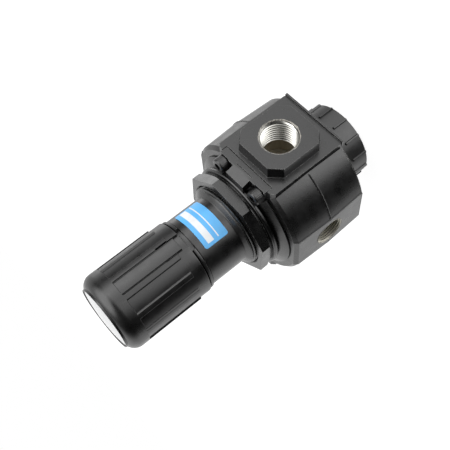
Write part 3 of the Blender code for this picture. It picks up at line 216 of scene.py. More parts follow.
# Bonnet screws
SCREW_RADIUS = 0.0025
SCREW_HEAD_RADIUS = 0.00425
SCREW_HEAD_FOOT = SCREW_SEAT + GAP
SCREW_TEETH = 32
SCREW_TOOTH = 0.00012
SCREW_POINT = 0.0005
SCREW_EASE = 0.0002
SCREW_KNURL = (SCREW_HEAD_FOOT + 2 * SCREW_EASE, SCREW_TOP - 0.0009)
SCREW_CROWN = ((0.0007, 0.0), (0.00035, 0.00012), (0.0001, 0.00035), (0.0, 0.0006))  # depths and insets
SCREW_TURN = 0.3  # each socket is turned this much further than the one before
SCREW_SOCKET_FLATS = 0.0040
SCREW_SOCKET_DEPTH = 0.0025

# Panel nut
NUT_FLATS = 0.0574
NUT_CORNER_ANGLE = radians(17.2)
NUT_FLANGE_TOP = NUT_FOOT + 0.0025
NUT_CHAMFER_FOOT = 0.0036
NUT_CHAMFER_TOP = 0.0054
NUT_BORE = 0.0249
NUT_LEAD = 0.0009
NUT_EASE = 0.0004
NUT_CORNER_CUT = 0.0002  # the top takes this much off the corners
NUT_CORNER_OVER = 0.0004
NUT_TOP_CUT = 0.0006
NUT_INSET = 0.0002  # parts of the nut that meet overlap by this much
NUT_FLANGE_INNER = NUT_FLATS / 2 - 0.0015
NUT_FLANGE_RISE = 0.0004
NUT_FLANGE_EDGE = 0.0006
NUT_FLANGE_EASE = 0.0003

# Knob, its disc and the clip ring
KNOB_TOP = KNOB_FOOT + 0.0528
KNOB_BORE = TUBE_RADIUS + 0.0003
KNOB_RADIUS = 0.0221
KNOB_RIB = CREST_RADIUS - KNOB_RADIUS
KNOB_RIBS = 12
KNOB_RIB_HALF = radians(4.8)
KNOB_RIB_PHASE = radians(-20)
KNOB_RIB_SIDE = radians(1.8)
KNOB_RIB_CENTRES = [KNOB_RIB_PHASE + tau * k / KNOB_RIBS for k in range(KNOB_RIBS)]
KNOB_RIB_LEVELS = 8
KNOB_FACET = radians(2.5)
RIB_FOOT = KNOB_FOOT + 0.0068
RIB_HEAD = KNOB_TOP - 0.0117
KNOB_ROUNDING = 0.0070
KNOB_ROUNDING_STEPS = 12
KNOB_EDGE = 0.0004
KNOB_LEAD = 0.0010
KNOB_LEAD_WIDTH = 0.0004
KNOB_LIP = 0.0010
KNOB_LIP_WALL = 0.0004
KNOB_LIP_EASE = 0.0001
KNOB_CROWN = KNOB_TOP - 0.0020  # above this, the rounding stops at the lip's wall
KNOB_CAVITY_TOP = KNOB_TOP - 0.0120
KNOB_HUB_RADIUS = 0.0079
KNOB_HUB_FOOT = TUBE_TOP + 0.0030
DRIVE_SOCKET_FLATS = 0.0076
DRIVE_END_PLAY = 0.0045
PAD_START = radians(-15.5)
PAD_END = radians(5.5)
PAD_MIDDLE = (PAD_START + PAD_END) / 2
PAD_HALF = (PAD_END - PAD_START) / 2
PAD_FACET = radians(60)
PAD_EASE = 0.0003
PAD_FOOT = KNOB_FOOT + 0.0034
PAD_SKIN = 0.0005
TONGUE_TOP = PAD_FOOT + 0.0107
TONGUE_SLOT = radians(2.0)
DISC_FLOOR = KNOB_TOP - 0.0019
DISC_DOME = DISC_TOP - KNOB_TOP
DISC_EDGE = 0.0002
DISC_SHOULDER = 0.00006
DISC_STEPS = 24
RING_RADIUS = 0.0215
RING_OPENING = radians(40)
RING_EASE = 0.0004
RING_STEPS = 120

# Label
LABEL_START = radians(-36)
LABEL_END = radians(43)
LABEL_CORNER = 0.0012
LABEL_RADIUS = TUBE_RADIUS + 0.0003
BAR_START = radians(-30.8)
BAR_END = radians(39.7)
BAR_CORNER = 0.0002
BAR_INNER = LABEL_RADIUS - 0.00005
BAR_OUTER = LABEL_RADIUS + 0.00004
BARS = (("label_bar", 0.56, 0.82), ("label_rule", 0.34, 0.385))  # from and to, in label heights
FILM_STEPS = 40  # on each half of a film
FILM_CORNER_STEPS = 6
FILM_LEAST = 0.00001  # half the height that a film keeps at its ends

# Bottom plug
PLUG_HEAD = BODY_FOOT - GAP
PLUG_RADIUS = 0.0224
PLUG_RIB = 0.0009
PLUG_RIB_HALF = 0.0008 / PLUG_RADIUS  # as an angle
PLUG_RIB_SIDE = radians(0.8)
PLUG_RIBS = 13
PLUG_RIB_PHASE = radians(-10)
PLUG_RIB_CENTRES = [PLUG_RIB_PHASE + tau * k / PLUG_RIBS for k in range(PLUG_RIBS)]
PLUG_RIB_FOOT = 0.0001
PLUG_RIB_LEVELS = (0.00014, 0.0003, 0.0006, 0.0040)
PLUG_RIB_HEAD = 0.0100
PLUG_FOOT_EASE = 0.0003
PLUG_EDGE = 0.0004
PLUG_FACET = radians(3)
PLUG_CORE_RADIUS = 0.0170
PLUG_CORE_DEPTH = 0.0080
PLUG_CORE_DRAFT = 0.0004
PLUG_THREAD_RADIUS = 0.0169
PLUG_UNDERCUT = PLUG_THREAD_RADIUS - 0.0006
PLUG_THREAD_LEAD = 0.0008
PLUG_RECESS_RADIUS = 0.0096
PLUG_RECESS_FLOOR = PLUG_TOP - 0.0080
GUIDE_POST_RADIUS = 0.0064
GUIDE_POST_TOP = PLUG_TOP - 0.0020
GUIDE_BORE_RADIUS = 0.0048
GUIDE_BORE_FLOOR = PLUG_RECESS_FLOOR - 0.0020

# Ribs: a side rises steeply and then less so, and a rib's end has these steps from just outside it
RIB_FLANK_SLOPE = 1.25
RIB_TOP_SLOPE = 0.25
RIB_KINK = (1 - RIB_TOP_SLOPE) / (RIB_FLANK_SLOPE - RIB_TOP_SLOPE)
RIB_MARGIN = 0.0008
RIB_END_EASE = 0.0004
RIB_END_STEPS = (-0.0001, 0.0, 0.00004, 0.00012, 0.00024, RIB_END_EASE)

# Meshes
FINE = 144  # facets round a turned piece
COARSE = 64
ROD_FACETS = 48
OVER = 0.001  # a cutter runs this far past what it cuts
MERGE = 0.000002
FLAT_ANGLE = radians(0.5)  # faces closer than this become one before edges are eased
EASE_ANGLE = radians(28)  # edges sharper than this are eased
EASE_SEGMENTS = 2
CURVE_STEPS = 3
CORNER_MIDDLE = 0.3  # a round corner's middle lies this share of its radius from both sides
SHARP = 32  # edges sharper than this stay sharp in the shading, in degrees
SHARP_THREAD = 20
SHARP_RIBS = 40
FACE_WEIGHT = 80


# Mesh helpers
def polar_point(radius, angle, height):
    return radius * cos(angle), radius * sin(angle), height


def solid(name, bm):
    """An object from a closed mesh, with its faces pointing out."""
    bmesh.ops.remove_doubles(bm, verts=bm.verts, dist=MERGE)
    bmesh.ops.recalc_face_normals(bm, faces=bm.faces)
    mesh = bpy.data.meshes.new(name)
    bm.to_mesh(mesh)
    bm.free()
    made = bpy.data.objects.new(name, mesh)
    bpy.context.scene.collection.objects.link(made)
    return made


def settle(made):
    """The object's modifiers become part of its mesh."""
    bpy.context.view_layer.update()
    graph = bpy.context.evaluated_depsgraph_get()
    old, made.data = made.data, bpy.data.meshes.new_from_object(made.evaluated_get(graph))
    made.modifiers.clear()
    made.data.name = made.name
    bpy.data.meshes.remove(old)
    return made


def combine(target, operation, *tools):
    """The tools are cut from, joined to or crossed with the target, and removed."""
    for tool in tools:
        step = target.modifiers.new("combine", "BOOLEAN")
        step.operation = operation
        step.object = tool
    settle(target)
    for tool in tools:
        bpy.data.objects.remove(tool, do_unlink=True)
    return target


def cut(target, *tools):
    return combine(target, "DIFFERENCE", *tools)


def join(target, *tools):
    return combine(target, "UNION", *tools)


def eased(made, width):
    """Sharp edges are rounded."""
    bm = bmesh.new()
    bm.from_mesh(made.data)
    bmesh.ops.remove_doubles(bm, verts=bm.verts, dist=10 * MERGE)
    bmesh.ops.dissolve_limit(bm, angle_limit=FLAT_ANGLE, verts=bm.verts, edges=bm.edges)
    bm.to_mesh(made.data)
    bm.free()
    bevel = made.modifiers.new("ease", "BEVEL")
    bevel.width = width
    bevel.segments = EASE_SEGMENTS
    bevel.limit_method = "ANGLE"
    bevel.angle_limit = EASE_ANGLE
    bevel.use_clamp_overlap = True
    return settle(made)


def loft(name, rings):
    """A closed solid through rings of points, each ring having as many points."""
    bm = bmesh.new()
    layers = [[bm.verts.new(point) for point in ring] for ring in rings]
    for lower, upper in zip(layers, layers[1:]):
        for k in range(len(lower)):
            bm.faces.new((lower[k - 1], lower[k], upper[k], upper[k - 1]))
    bm.faces.new(layers[0])
    bm.faces.new(layers[-1])
    return solid(name, bm)


def block(name, low, high):
    """A box between two opposite corners."""
    (x, y, z), (a, b, c) = low, high
    outline = ((x, y), (a, y), (a, b), (x, b))
    return loft(name, [[(p, q, height) for p, q in outline] for height in (z, c)])


def between(name, side, inner, outer, half_width, foot, top):
    """A box on the +X or -X side, between two distances from the axis."""
    near, far = sorted((side * inner, side * outer))
    return block(name, (near, -half_width, foot), (far, half_width, top))


def sector(name, start, end, inner, outer, foot, top):
    """An upright wedge between two angles and two distances from the axis."""
    outline = ((inner, end), (inner, start), (outer, start), (outer, end))
    return loft(name, [[polar_point(r, a, z) for r, a in outline] for z in (foot, top)])


def prism(name, sides, across_flats, foot, top, corner_angle=0.0):
    """An upright prism with a regular outline."""
    reach = across_flats / 2 / cos(pi / sides)
    corners = [corner_angle + tau * k / sides for k in range(sides)]
    return loft(name, [[polar_point(reach, a, z) for a in corners] for z in (foot, top)])


def polar(name, angles, rows):
    """A solid round Z through rows of (height, radius), from pole to pole or back to the first row.

    A radius is a number or a function of the angle.
    """
    bm = bmesh.new()
    layers = []
    for height, radius in rows:
        reach = [radius(a) if callable(radius) else radius for a in angles]
        layers.append([bm.verts.new(polar_point(r, a, height)) for r, a in zip(reach, angles)])
    for lower, upper in zip(layers, layers[1:]):
        for k in range(len(angles)):
            bm.faces.new((lower[k - 1], lower[k], upper[k], upper[k - 1]))
    return solid(name, bm)


def turned(name, profile, steps=FINE):
    """A profile of (radius, height) points turned about Z: from axis to axis, or closed to a ring."""
    rows = [(z, r) for r, z in profile]
    if profile[0][0] > 0:
        rows.append(rows[0])
    return polar(name, [tau * k / steps for k in range(steps)], rows)


def rounded(points, size):
    """A profile whose corners, apart from its ends, become curves that start size before the corner."""
    made = [points[0]]
    for before, corner, after in zip(points, points[1:], points[2:]):
        here, back, on = Vector(corner), Vector(before), Vector(after)
        reach = min(size, (back - here).length * 0.45, (on - here).length * 0.45)
        start = here + (back - here).normalized() * reach
        end = here + (on - here).normalized() * reach
        for k in range(CURVE_STEPS + 1):
            t = k / CURVE_STEPS
            made.append(tuple((1 - t) ** 2 * start + 2 * t * (1 - t) * here + t**2 * end))
    made.append(points[-1])
    return made


def laid(made, direction, place):
    """An upright piece turned so that its axis lies along a direction, then moved to its place."""
    turn = Vector(direction).to_track_quat("Z", "Y").to_matrix().to_4x4()
    made.data.transform(Matrix.Translation(place) @ turn)
    return made


def helix(name, root, crest, pitch, foot, top, backing, fade=0.0, mouth=0.0):
    """A threaded sleeve round Z, an inner thread where crest is less than root.

    Its ridges fade out at both ends over a length, or a chamfer opens its upper end to a mouth.
    """
    turns = ceil((top - foot) / pitch)
    bm = bmesh.new()
    grid = []
    for i in range(THREAD_COLUMNS + 1):
        angle = tau * i / THREAD_COLUMNS
        column = []
        for j in range(-THREAD_STEPS, turns * THREAD_STEPS + 1):
            height = min(max(foot + pitch * (j / THREAD_STEPS + i / THREAD_COLUMNS), foot), top)
            wave = 1 - abs(2 * ((j / THREAD_STEPS) % 1) - 1)
            share = min(max((wave - THREAD_ROOT_FLAT) / THREAD_FLANK, 0), 1)
            if fade:
                share *= min((height - foot) / fade, (top - height) / fade, 1)
            radius = max(root + (crest - root) * share, mouth - CHAMFER_SLOPE * (top - height))
            column.append(bm.verts.new(polar_point(radius, angle, height)))
        column += [bm.verts.new(polar_point(backing, angle, end)) for end in (top, foot)]
        grid.append(column)
    for left, right in zip(grid, grid[1:]):
        for j in range(-1, len(left) - 1):
            bm.faces.new((left[j], left[j + 1], right[j + 1], right[j]))
    return solid(name, bm)


def rib_rise(depth, ease):
    """Height of a rib's sloping side, 0 to 1, at an angle or length inside its foot."""
    share = min(max(depth / ease, 0), 1)
    return min(RIB_FLANK_SLOPE * share, 1 - RIB_TOP_SLOPE + RIB_TOP_SLOPE * share)


def rib_stations(centres, half, ease, spacing):
    """The angles at which a ribbed round needs points."""
    depths = (-RIB_MARGIN, 0.0, CORNER_MIDDLE * ease, RIB_KINK * ease, ease, half)
    found = {(c + s * (half - d)) % tau for c in centres for d in depths for s in (-1, 1)}
    ordered = sorted(found)
    for a, b in zip(ordered, ordered[1:] + [ordered[0] + tau]):
        extra = int((b - a) / spacing)
        found.update((a + (b - a) * k / (extra + 1)) % tau for k in range(1, extra + 1))
    return sorted(found)


def apart(a, b):
    """The angle between two directions."""
    return abs((a - b + pi) % tau - pi)


def dress(made, look, body, slot, *nodes, sharp=SHARP):
    """Gives a finished piece its material and body, and hides the CAD nodes that it stands for; slot is not
    used.
    """
    mesh = made.data
    mesh.materials.clear()
    mesh.materials.append(look)
    mesh.shade_smooth()
    mesh.set_sharp_from_angle(angle=radians(sharp))
    weigh = made.modifiers.new("weigh", "WEIGHTED_NORMAL")
    weigh.keep_sharp = True
    weigh.weight = FACE_WEIGHT
    settle(made)
    if body:
        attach(made, body)
    if nodes:
        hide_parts(*nodes)
    return made


def second_look(made, look, chosen):
    """The faces whose centres are chosen take another material."""
    made.data.materials.append(look)
    for face in made.data.polygons:
        if chosen(face.center):
            face.material_index = 1


def off_axis(point, direction):
    """How far a point lies from a port's axis."""
    arm = point - Vector((0, 0, PORT_HEIGHT))
    return (arm - arm.project(Vector(direction))).length


# Materials: each finish has a colour, its least and most roughness and, for a metal, how metallic it is
FINISHES = {
    "cast_black": ((0.004, 0.004, 0.004), (0.24, 0.34)),
    "nut_black": ((0.004, 0.004, 0.004), (0.20, 0.30)),
    "black_steel": ((0.008, 0.008, 0.008), (0.24, 0.34)),
    "plug_plastic": ((0.008, 0.008, 0.008), (0.30, 0.42)),
    "knob_plastic": ((0.005, 0.005, 0.005), (0.26, 0.36)),
    "disc_white": ((0.84, 0.85, 0.86), (0.10, 0.16)),
    "label_blue": ((0.13, 0.50, 0.95), (0.34, 0.44)),
    "label_white": ((0.86, 0.88, 0.90), (0.36, 0.46)),
    "bare_metal": ((0.78, 0.77, 0.72), (0.24, 0.36), 1.0),
    "dull_metal": ((0.60, 0.58, 0.50), (0.35, 0.50), 0.5),
    # painted shade: this dark colour stands for the shadow deep in the threads' grooves
    "thread_groove_shade": ((0.05, 0.048, 0.04), (0.50, 0.65)),
    "raw_casting": ((0.48, 0.43, 0.33), (0.50, 0.65)),
    "chipped_rim": ((0.10, 0.10, 0.09), (0.45, 0.60)),
    "plated_steel": ((0.62, 0.62, 0.62), (0.28, 0.40), 1.0),
    "acetal": ((0.80, 0.80, 0.76), (0.42, 0.52)),
    "brass": ((0.72, 0.52, 0.25), (0.24, 0.36), 1.0),
    "spring_steel": ((0.55, 0.55, 0.56), (0.26, 0.38), 1.0),
    "seal_rubber": ((0.015, 0.015, 0.015), (0.55, 0.70)),
}

# Grains of the finishes, each with its scale, strength and depth in metres
MACHINED = ((1500, 0.15, 0.0001),)
PLATED = ((1200, 0.15, 0.0001),)
PRINTED = ((700, 0.10, 0.0001),)
DULL = ((2000, 0.20, 0.0001),)
GRAINS = {
    "cast_black": ((1600, 0.22, 0.0001), (500, 0.06, 0.0002)),
    "nut_black": ((1800, 0.22, 0.0001),),
    "black_steel": ((2500, 0.20, 0.0001),),
    "plug_plastic": ((2200, 0.25, 0.0001),),
    "knob_plastic": ((2200, 0.16, 0.0001),),
    "disc_white": ((300, 0.06, 0.0002),),
    "label_blue": PRINTED,
    "label_white": PRINTED,
    "bare_metal": MACHINED,
    "dull_metal": MACHINED,
    "thread_groove_shade": DULL,
    "raw_casting": DULL,
    "chipped_rim": ((1500, 0.5, 0.0002),),
    "plated_steel": PLATED,
    "acetal": DULL,
    "brass": PLATED,
    "spring_steel": PLATED,
    "seal_rubber": DULL,
}

# Colours that the edges of the black finishes take: partly paint rubbed through, partly a painted highlight
# along the edges
WEAR_AND_GLINT_COLOURS = {
    "cast_black": (0.30, 0.30, 0.29),
    "nut_black": (0.25, 0.25, 0.24),
    "black_steel": (0.22, 0.22, 0.22),
    "plug_plastic": (0.03, 0.03, 0.03),
    "knob_plastic": (0.06, 0.06, 0.06),
}
WEAR_AND_GLINT_RADIUS = 0.0004
WEAR_AND_GLINT_SAMPLES = 6
WEAR_AND_GLINT_BEND = (0.80, 0.98)  # cosines between the bevelled and the true normal
WEAR_AND_GLINT_SCALE = 900.0
WEAR_AND_GLINT_LEAST = 0.15
PATCH_SCALE = 180.0
PATCH_SHADES = (0.85, 1.15)
GRAIN_DETAIL = 4.0
RIM_SCALE = 1700.0
RIM_BARE = (0.36, 0.56)  # levels of noise at which a chipped rim starts to be bare and is bare
RIM_COLOUR = (0.50, 0.47, 0.42)


def map_range(tree, source, low, high, to_low, to_high):
    """A node that carries one range of values to another."""
    node = tree.nodes.new("ShaderNodeMapRange")
    for name, value in zip(("From Min", "From Max", "To Min", "To Max"), (low, high, to_low, to_high)):
        node.inputs[name].default_value = value
    tree.links.new(source, node.inputs["Value"])
    return node


class Look:
    """A node material with colour, roughness and grain that vary over the piece."""

    def __init__(self, name, colour, roughness, metallic=0.0):
        self.material = bpy.data.materials.new(name)
        self.material.use_nodes = True
        self.tree = self.material.node_tree
        self.nodes, self.links = self.tree.nodes, self.tree.links
        self.shader = self.nodes["Principled BSDF"]
        self.colour = colour
        self.set(Metallic=metallic)
        self.place = self.nodes.new("ShaderNodeTexCoord").outputs["Object"]
        self.height = None
        self.patches(roughness)

    def set(self, **values):
        for name, value in values.items():
            self.shader.inputs[name.replace("_", " ")].default_value = value

    def noise(self, scale, detail=3.0):
        node = self.nodes.new("ShaderNodeTexNoise")
        node.inputs["Scale"].default_value = scale
        node.inputs["Detail"].default_value = detail
        self.links.new(self.place, node.inputs["Vector"])
        return node.outputs["Fac"]

    def ranged(self, source, *limits):
        return map_range(self.tree, source, *limits).outputs["Result"]

    def patches(self, roughness):
        """Roughness and colour drift in soft patches a few millimetres wide."""
        drift = self.noise(PATCH_SCALE)
        self.links.new(self.ranged(drift, 0.3, 0.7, *roughness), self.shader.inputs["Roughness"])
        tone = self.nodes.new("ShaderNodeMix")
        tone.data_type = "RGBA"
        for socket, share in zip("AB", PATCH_SHADES):
            tone.inputs[socket].default_value = (*[c * share for c in self.colour], 1)
        self.links.new(drift, tone.inputs["Factor"])
        self.tone = tone.outputs["Result"]
        self.links.new(self.tone, self.shader.inputs["Base Color"])

    def grain(self, scale, strength, distance):
        """Bump from noise; a second call adds a second size of grain."""
        bump = self.nodes.new("ShaderNodeBump")
        bump.inputs["Strength"].default_value = strength
        bump.inputs["Distance"].default_value = distance
        self.links.new(self.noise(scale, GRAIN_DETAIL), bump.inputs["Height"])
        if self.height:
            self.links.new(self.height, bump.inputs["Normal"])
        self.height = bump.outputs["Normal"]
        self.links.new(self.height, self.shader.inputs["Normal"])

    def wear_and_glint(self, colour):
        """Edges take a paler colour, broken up by noise: partly rubbed-through wear, partly a painted
        highlight.
        """
        soft = self.nodes.new("ShaderNodeBevel")
        soft.samples = WEAR_AND_GLINT_SAMPLES
        soft.inputs["Radius"].default_value = WEAR_AND_GLINT_RADIUS
        dot = self.nodes.new("ShaderNodeVectorMath")
        dot.operation = "DOT_PRODUCT"
        self.links.new(soft.outputs["Normal"], dot.inputs[0])
        self.links.new(self.nodes.new("ShaderNodeNewGeometry").outputs["Normal"], dot.inputs[1])
        mask = self.ranged(dot.outputs["Value"], *WEAR_AND_GLINT_BEND, 1.0, 0.0)
        broken = self.nodes.new("ShaderNodeMath")
        broken.operation = "MULTIPLY"
        self.links.new(mask, broken.inputs[0])
        self.links.new(self.ranged(self.noise(WEAR_AND_GLINT_SCALE), 0.4, 0.6, WEAR_AND_GLINT_LEAST, 1.0), broken.inputs[1])
        self.mixed(broken.outputs["Value"], colour)

    def mixed(self, factor, colour):
        """A second colour where the factor is high."""
        mix = self.nodes.new("ShaderNodeMix")
        mix.data_type = "RGBA"
        mix.inputs["B"].default_value = (*colour, 1)
        self.links.new(factor, mix.inputs["Factor"])
        self.links.new(self.tone, mix.inputs["A"])
        self.links.new(mix.outputs["Result"], self.shader.inputs["Base Color"])


def make_looks():
    """One material for each finish."""
    looks = {name: Look(name, *finish) for name, finish in FINISHES.items()}
    for name, look in looks.items():
        for grain in GRAINS.get(name, ()):
            look.grain(*grain)
        # edges are painted paler, as wear and as a painted highlight
        if name in WEAR_AND_GLINT_COLOURS:
            look.wear_and_glint(WEAR_AND_GLINT_COLOURS[name])
            look.set(Specular_IOR_Level=1.0)
    rim = looks["chipped_rim"]
    rim.mixed(rim.ranged(rim.noise(RIM_SCALE), *RIM_BARE, 0.0, 1.0), RIM_COLOUR)
    looks["disc_white"].set(Coat_Weight=0.5, Coat_Roughness=0.05)
    return {name: look.material for name, look in looks.items()}


# Body casting
def body_outline(height, grow):
    """One level of the casting: a round with a flat boss on each gauge side."""
    radius, flat = BODY_RADIUS + grow, GAUGE_FLAT * (BODY_RADIUS + grow) / BODY_RADIUS
    turn = acos(GAUGE_BOSS_HALF / radius)
    quarter = [polar_point(radius, turn * k / QUARTER_STEPS, height)[:2] for k in range(QUARTER_STEPS + 1)]
    quarter.append((GAUGE_BOSS_HALF - GAUGE_BOSS_EDGE, flat))
    half = quarter + [(-x, y) for x, y in reversed(quarter)][:-1]
    return [(x, y, height) for x, y in half + [(-x, -y) for x, y in half]]


def port_plate(side):
    """The square plate behind the pad, with cut corners at the knob end."""
    w, c = PLATE_HALF_WIDTH, PLATE_CORNER
    outline = [(-w, BODY_FOOT + c / 2), (c / 2 - w, BODY_FOOT)]
    outline += [(w - c / 2, BODY_FOOT), (w, BODY_FOOT + c / 2)]
    outline += [(w, BODY_TOP - c), (w - c, BODY_TOP), (c - w, BODY_TOP), (-w, BODY_TOP - c)]
    return loft("plate", [[(side * x, y, z) for y, z in outline] for x in (PLATE_BACK, PLATE_FACE)])


def port_pad(side):
    """The raised eight-sided pad round a main port."""
    rings = []
    for x, grow in ((PLATE_BACK, PAD_DRAFT), (PLATE_FACE, PAD_DRAFT), (PAD_FACE, 0.0)):
        y, z, c = PAD_HALF_WIDTH + grow, PAD_HALF_HEIGHT + grow, PAD_CORNER
        half = [(y, z - c), (y - c, z), (c - y, z), (-y, z - c)]
        outline = half + [(-a, -b) for a, b in half]
        rings.append([(side * x, a, PORT_HEIGHT + b) for a, b in outline])
    return loft("pad", rings)


def foot_rail(side):
    """The low straight rail along the plug end of a port plate, its ends rounded off."""
    inner, outer, half = PLATE_FACE - RAIL_ROOT, PLATE_FACE + RAIL_REACH, PLATE_HALF_WIDTH
    ease = RAIL_REACH / 2
    middle = CORNER_MIDDLE * ease
    outline = [(inner, -half), (outer - ease, -half), (outer - middle, middle - half), (outer, ease - half)]
    outline += [(x, -y) for x, y in reversed(outline)]
    heights = (BODY_LOW[2], BODY_FOOT + RAIL_OVERLAP)
    return loft("rail", [[(side * x, y, z) for x, y in outline] for z in heights])


def foot_groove():
    """The fine groove that leaves a lip round the casting's plug end."""
    heights = (FOOT_GROOVE - FOOT_GROOVE_WIDTH / 2, FOOT_GROOVE + FOOT_GROOVE_WIDTH / 2)
    ring = loft("groove", [body_outline(z, FOOT_GROOVE_CUTTER) for z in heights])
    ends = (heights[0] - OVER, heights[1] + OVER)
    cut(ring, loft("core", [body_outline(z, -FOOT_GROOVE_DEPTH) for z in ends]))
    inner, wide = PLATE_FACE - FOOT_GROOVE_END, 2 * BODY_RADIUS
    for side in (-1, 1):
        cut(ring, between("ring_end", side, inner, wide, wide, BODY_FOOT - OVER, BODY_TOP))
    return ring


def mouth_cutter(direction, face, inner_end, radius, chip, ragged):
    """A port's hole, whose ragged mouth shows where the paint has chipped."""

    def edge(angle):
        rough = noise.noise(Vector(polar_point(CHIP_WAVES, angle, face * 90)))
        fine = noise.noise(Vector(polar_point(CHIP_WAVES_FINE, angle, 5.0)))
        return radius + chip + ragged * (rough + CHIP_FINE * fine)

    rows = [(inner_end, 0.0), (inner_end, radius), (face - MOUTH_EDGE_FOOT, radius)]
    rows += [(face - MOUTH_EDGE, edge), (face + OVER, edge), (face + OVER, 0.0)]
    hole = polar("hole", [tau * k / MOUTH_STEPS for k in range(MOUTH_STEPS)], rows)
    return laid(hole, direction, (0, 0, PORT_HEIGHT))


def rod(name, radius, foot, top, x=0.0, y=0.0, steps=ROD_FACETS):
    """An upright cylinder."""
    made = turned(name, [(0, top), (radius, top), (radius, foot), (0, foot)], steps)
    made.data.transform(Matrix.Translation((x, y, 0)))
    return made


def screw_places():
    """The four screws' axes, as their nodes' boxes give them."""
    for number in range(1, 5):
        low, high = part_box(f"bonnet_screw_{number}")
        yield (low[0] + high[0]) / 2, (low[1] + high[1]) / 2


def make_body(looks):
    """The casting, with its ports and the chambers inside it."""
    levels = [(BODY_FOOT, 0.0), (PORT_HEIGHT, BODY_DRAFT)]
    levels.append((BODY_TOP - BODY_BEVEL, BODY_DRAFT * BODY_BEVEL / BODY_HALF_HEIGHT))
    levels.append((BODY_TOP, -BODY_BEVEL_INWARD))
    body = loft("regulator_body", [body_outline(z, grow) for z, grow in levels])
    wide = 2 * BODY_RADIUS
    for side in (-1, 1):
        cut(body, between("beyond", side, PLATE_FACE, wide, wide, 0, BODY_TOP + wide))
    for side in (-1, 1):
        join(body, port_plate(side), port_pad(side), foot_rail(side))
        cut(body, between("recess", side, LUG_INNER - GAP, wide, LUG_HALF_WIDTH + GAP, LUG_FOOT - GAP, wide))
    eased(body, BODY_EASE)
    cut(body, foot_groove())
    chamber = turned(
        "chamber",
        [
            (0, VALVE_CHAMBER_TOP), (PLUG_BORE, VALVE_CHAMBER_TOP),
            (PLUG_BORE, BODY_FOOT + SEAL_ROOM), (SEAL_ROOM_RADIUS, BODY_FOOT + SEAL_ROOM),
            (SEAL_ROOM_RADIUS, BODY_FOOT - OVER), (0, BODY_FOOT - OVER),
        ],
        COARSE,
    )
    cut(chamber, rod("lip", SEAT_LIP_RADIUS, SEAT_LIP, VALVE_CHAMBER_TOP + OVER))
    upper = turned(
        "upper",
        [
            (0, BODY_TOP + OVER), (DIAPHRAGM_RADIUS + GAP, BODY_TOP + OVER),
            (DIAPHRAGM_RADIUS + GAP, BODY_TOP - DIAPHRAGM_SEAT),
            (CHAMBER_RADIUS, BODY_TOP - DIAPHRAGM_SEAT), (CHAMBER_RADIUS, CHAMBER_FLOOR),
            (0, CHAMBER_FLOOR),
        ],
        COARSE,
    )
    cut(body, chamber, upper, rod("passage", SEAT_PASSAGE_RADIUS, SEAT_LIP - OVER, CHAMBER_FLOOR + OVER))
    for side, end in ((1, OUTLET_END), (-1, INLET_END)):
        cut(body, mouth_cutter((side, 0, 0), PAD_FACE, end, PORT_MOUTH, *PORT_CHIP))
    cut(body, rod("riser", RISER_RADIUS, PORT_HEIGHT, CHAMBER_FLOOR + OVER, RISER_FROM_AXIS))
    for side in (-1, 1):
        end = GAUGE_FACE - GAUGE_DEPTH
        cut(body, mouth_cutter((0, side, 0), GAUGE_FACE, end, GAUGE_MOUTH, *GAUGE_CHIP))
        pilot = rod("pilot", PILOT_RADIUS, SEAT_PASSAGE_RADIUS / 2, GAUGE_FACE - GAUGE_DEPTH / 2)
        cut(body, laid(pilot, (0, side, 0), (0, 0, PORT_HEIGHT + PILOT_RISE)))
    for x, y in screw_places():
        cut(body, rod("screw_hole", SCREW_HOLE, SCREW_TIP - OVER, BODY_TOP, x, y))
    dress(body, looks["cast_black"], "base", "cast_black", "body")

    def in_port(point):
        main = off_axis(point, (1, 0, 0)) < PORT_MOUTH and INLET_END - GAP < abs(point.x) < PLATE_FACE - GAP
        gauge = off_axis(point, (0, 1, 0)) < GAUGE_MOUTH and CHAMBER_RADIUS < abs(point.y) < GAUGE_FLAT - GAP
        return main or gauge

    second_look(body, looks["raw_casting"], in_port)


def make_flash(looks):
    """The rough bead that the mould's parting plane leaves round the casting."""
    radius = BODY_RADIUS + BODY_DRAFT
    start, end = FLASH_START, FLASH_END
    arcs = ((start, end), (pi - end, pi - start), (-end, -start), (start - pi, end - pi))
    for number, (a, b) in enumerate(arcs):
        rings = []
        for k in range(FLASH_STEPS + 1):
            angle = a + (b - a) * k / FLASH_STEPS
            rough = noise.noise(Vector((FLASH_WAVES * angle, number, 0)))
            fine = noise.noise(Vector((FLASH_WAVES_FINE * angle, number, 4)))
            rise = FLASH_HEIGHT * (FLASH_MEAN + FLASH_ROUGH * rough + FLASH_ROUGH * fine)
            half = FLASH_HALF_WIDTH * (1 + FLASH_WIDTH_ROUGH * rough)
            section = ((-FLASH_ROOT, -half), (0.3 * rise, -half), (rise, -0.4 * half))
            section += ((0.9 * rise, 0.4 * half), (0.2 * rise, half), (-FLASH_ROOT, half))
            shift = FLASH_DRIFT * noise.noise(Vector((FLASH_DRIFT_WAVES * angle, number, 9)))
            rings.append([polar_point(radius + out, angle, PORT_HEIGHT + up + shift) for out, up in section])
        dress(loft(f"parting_flash_{number + 1}", rings), looks["cast_black"], "base", "cast_black")


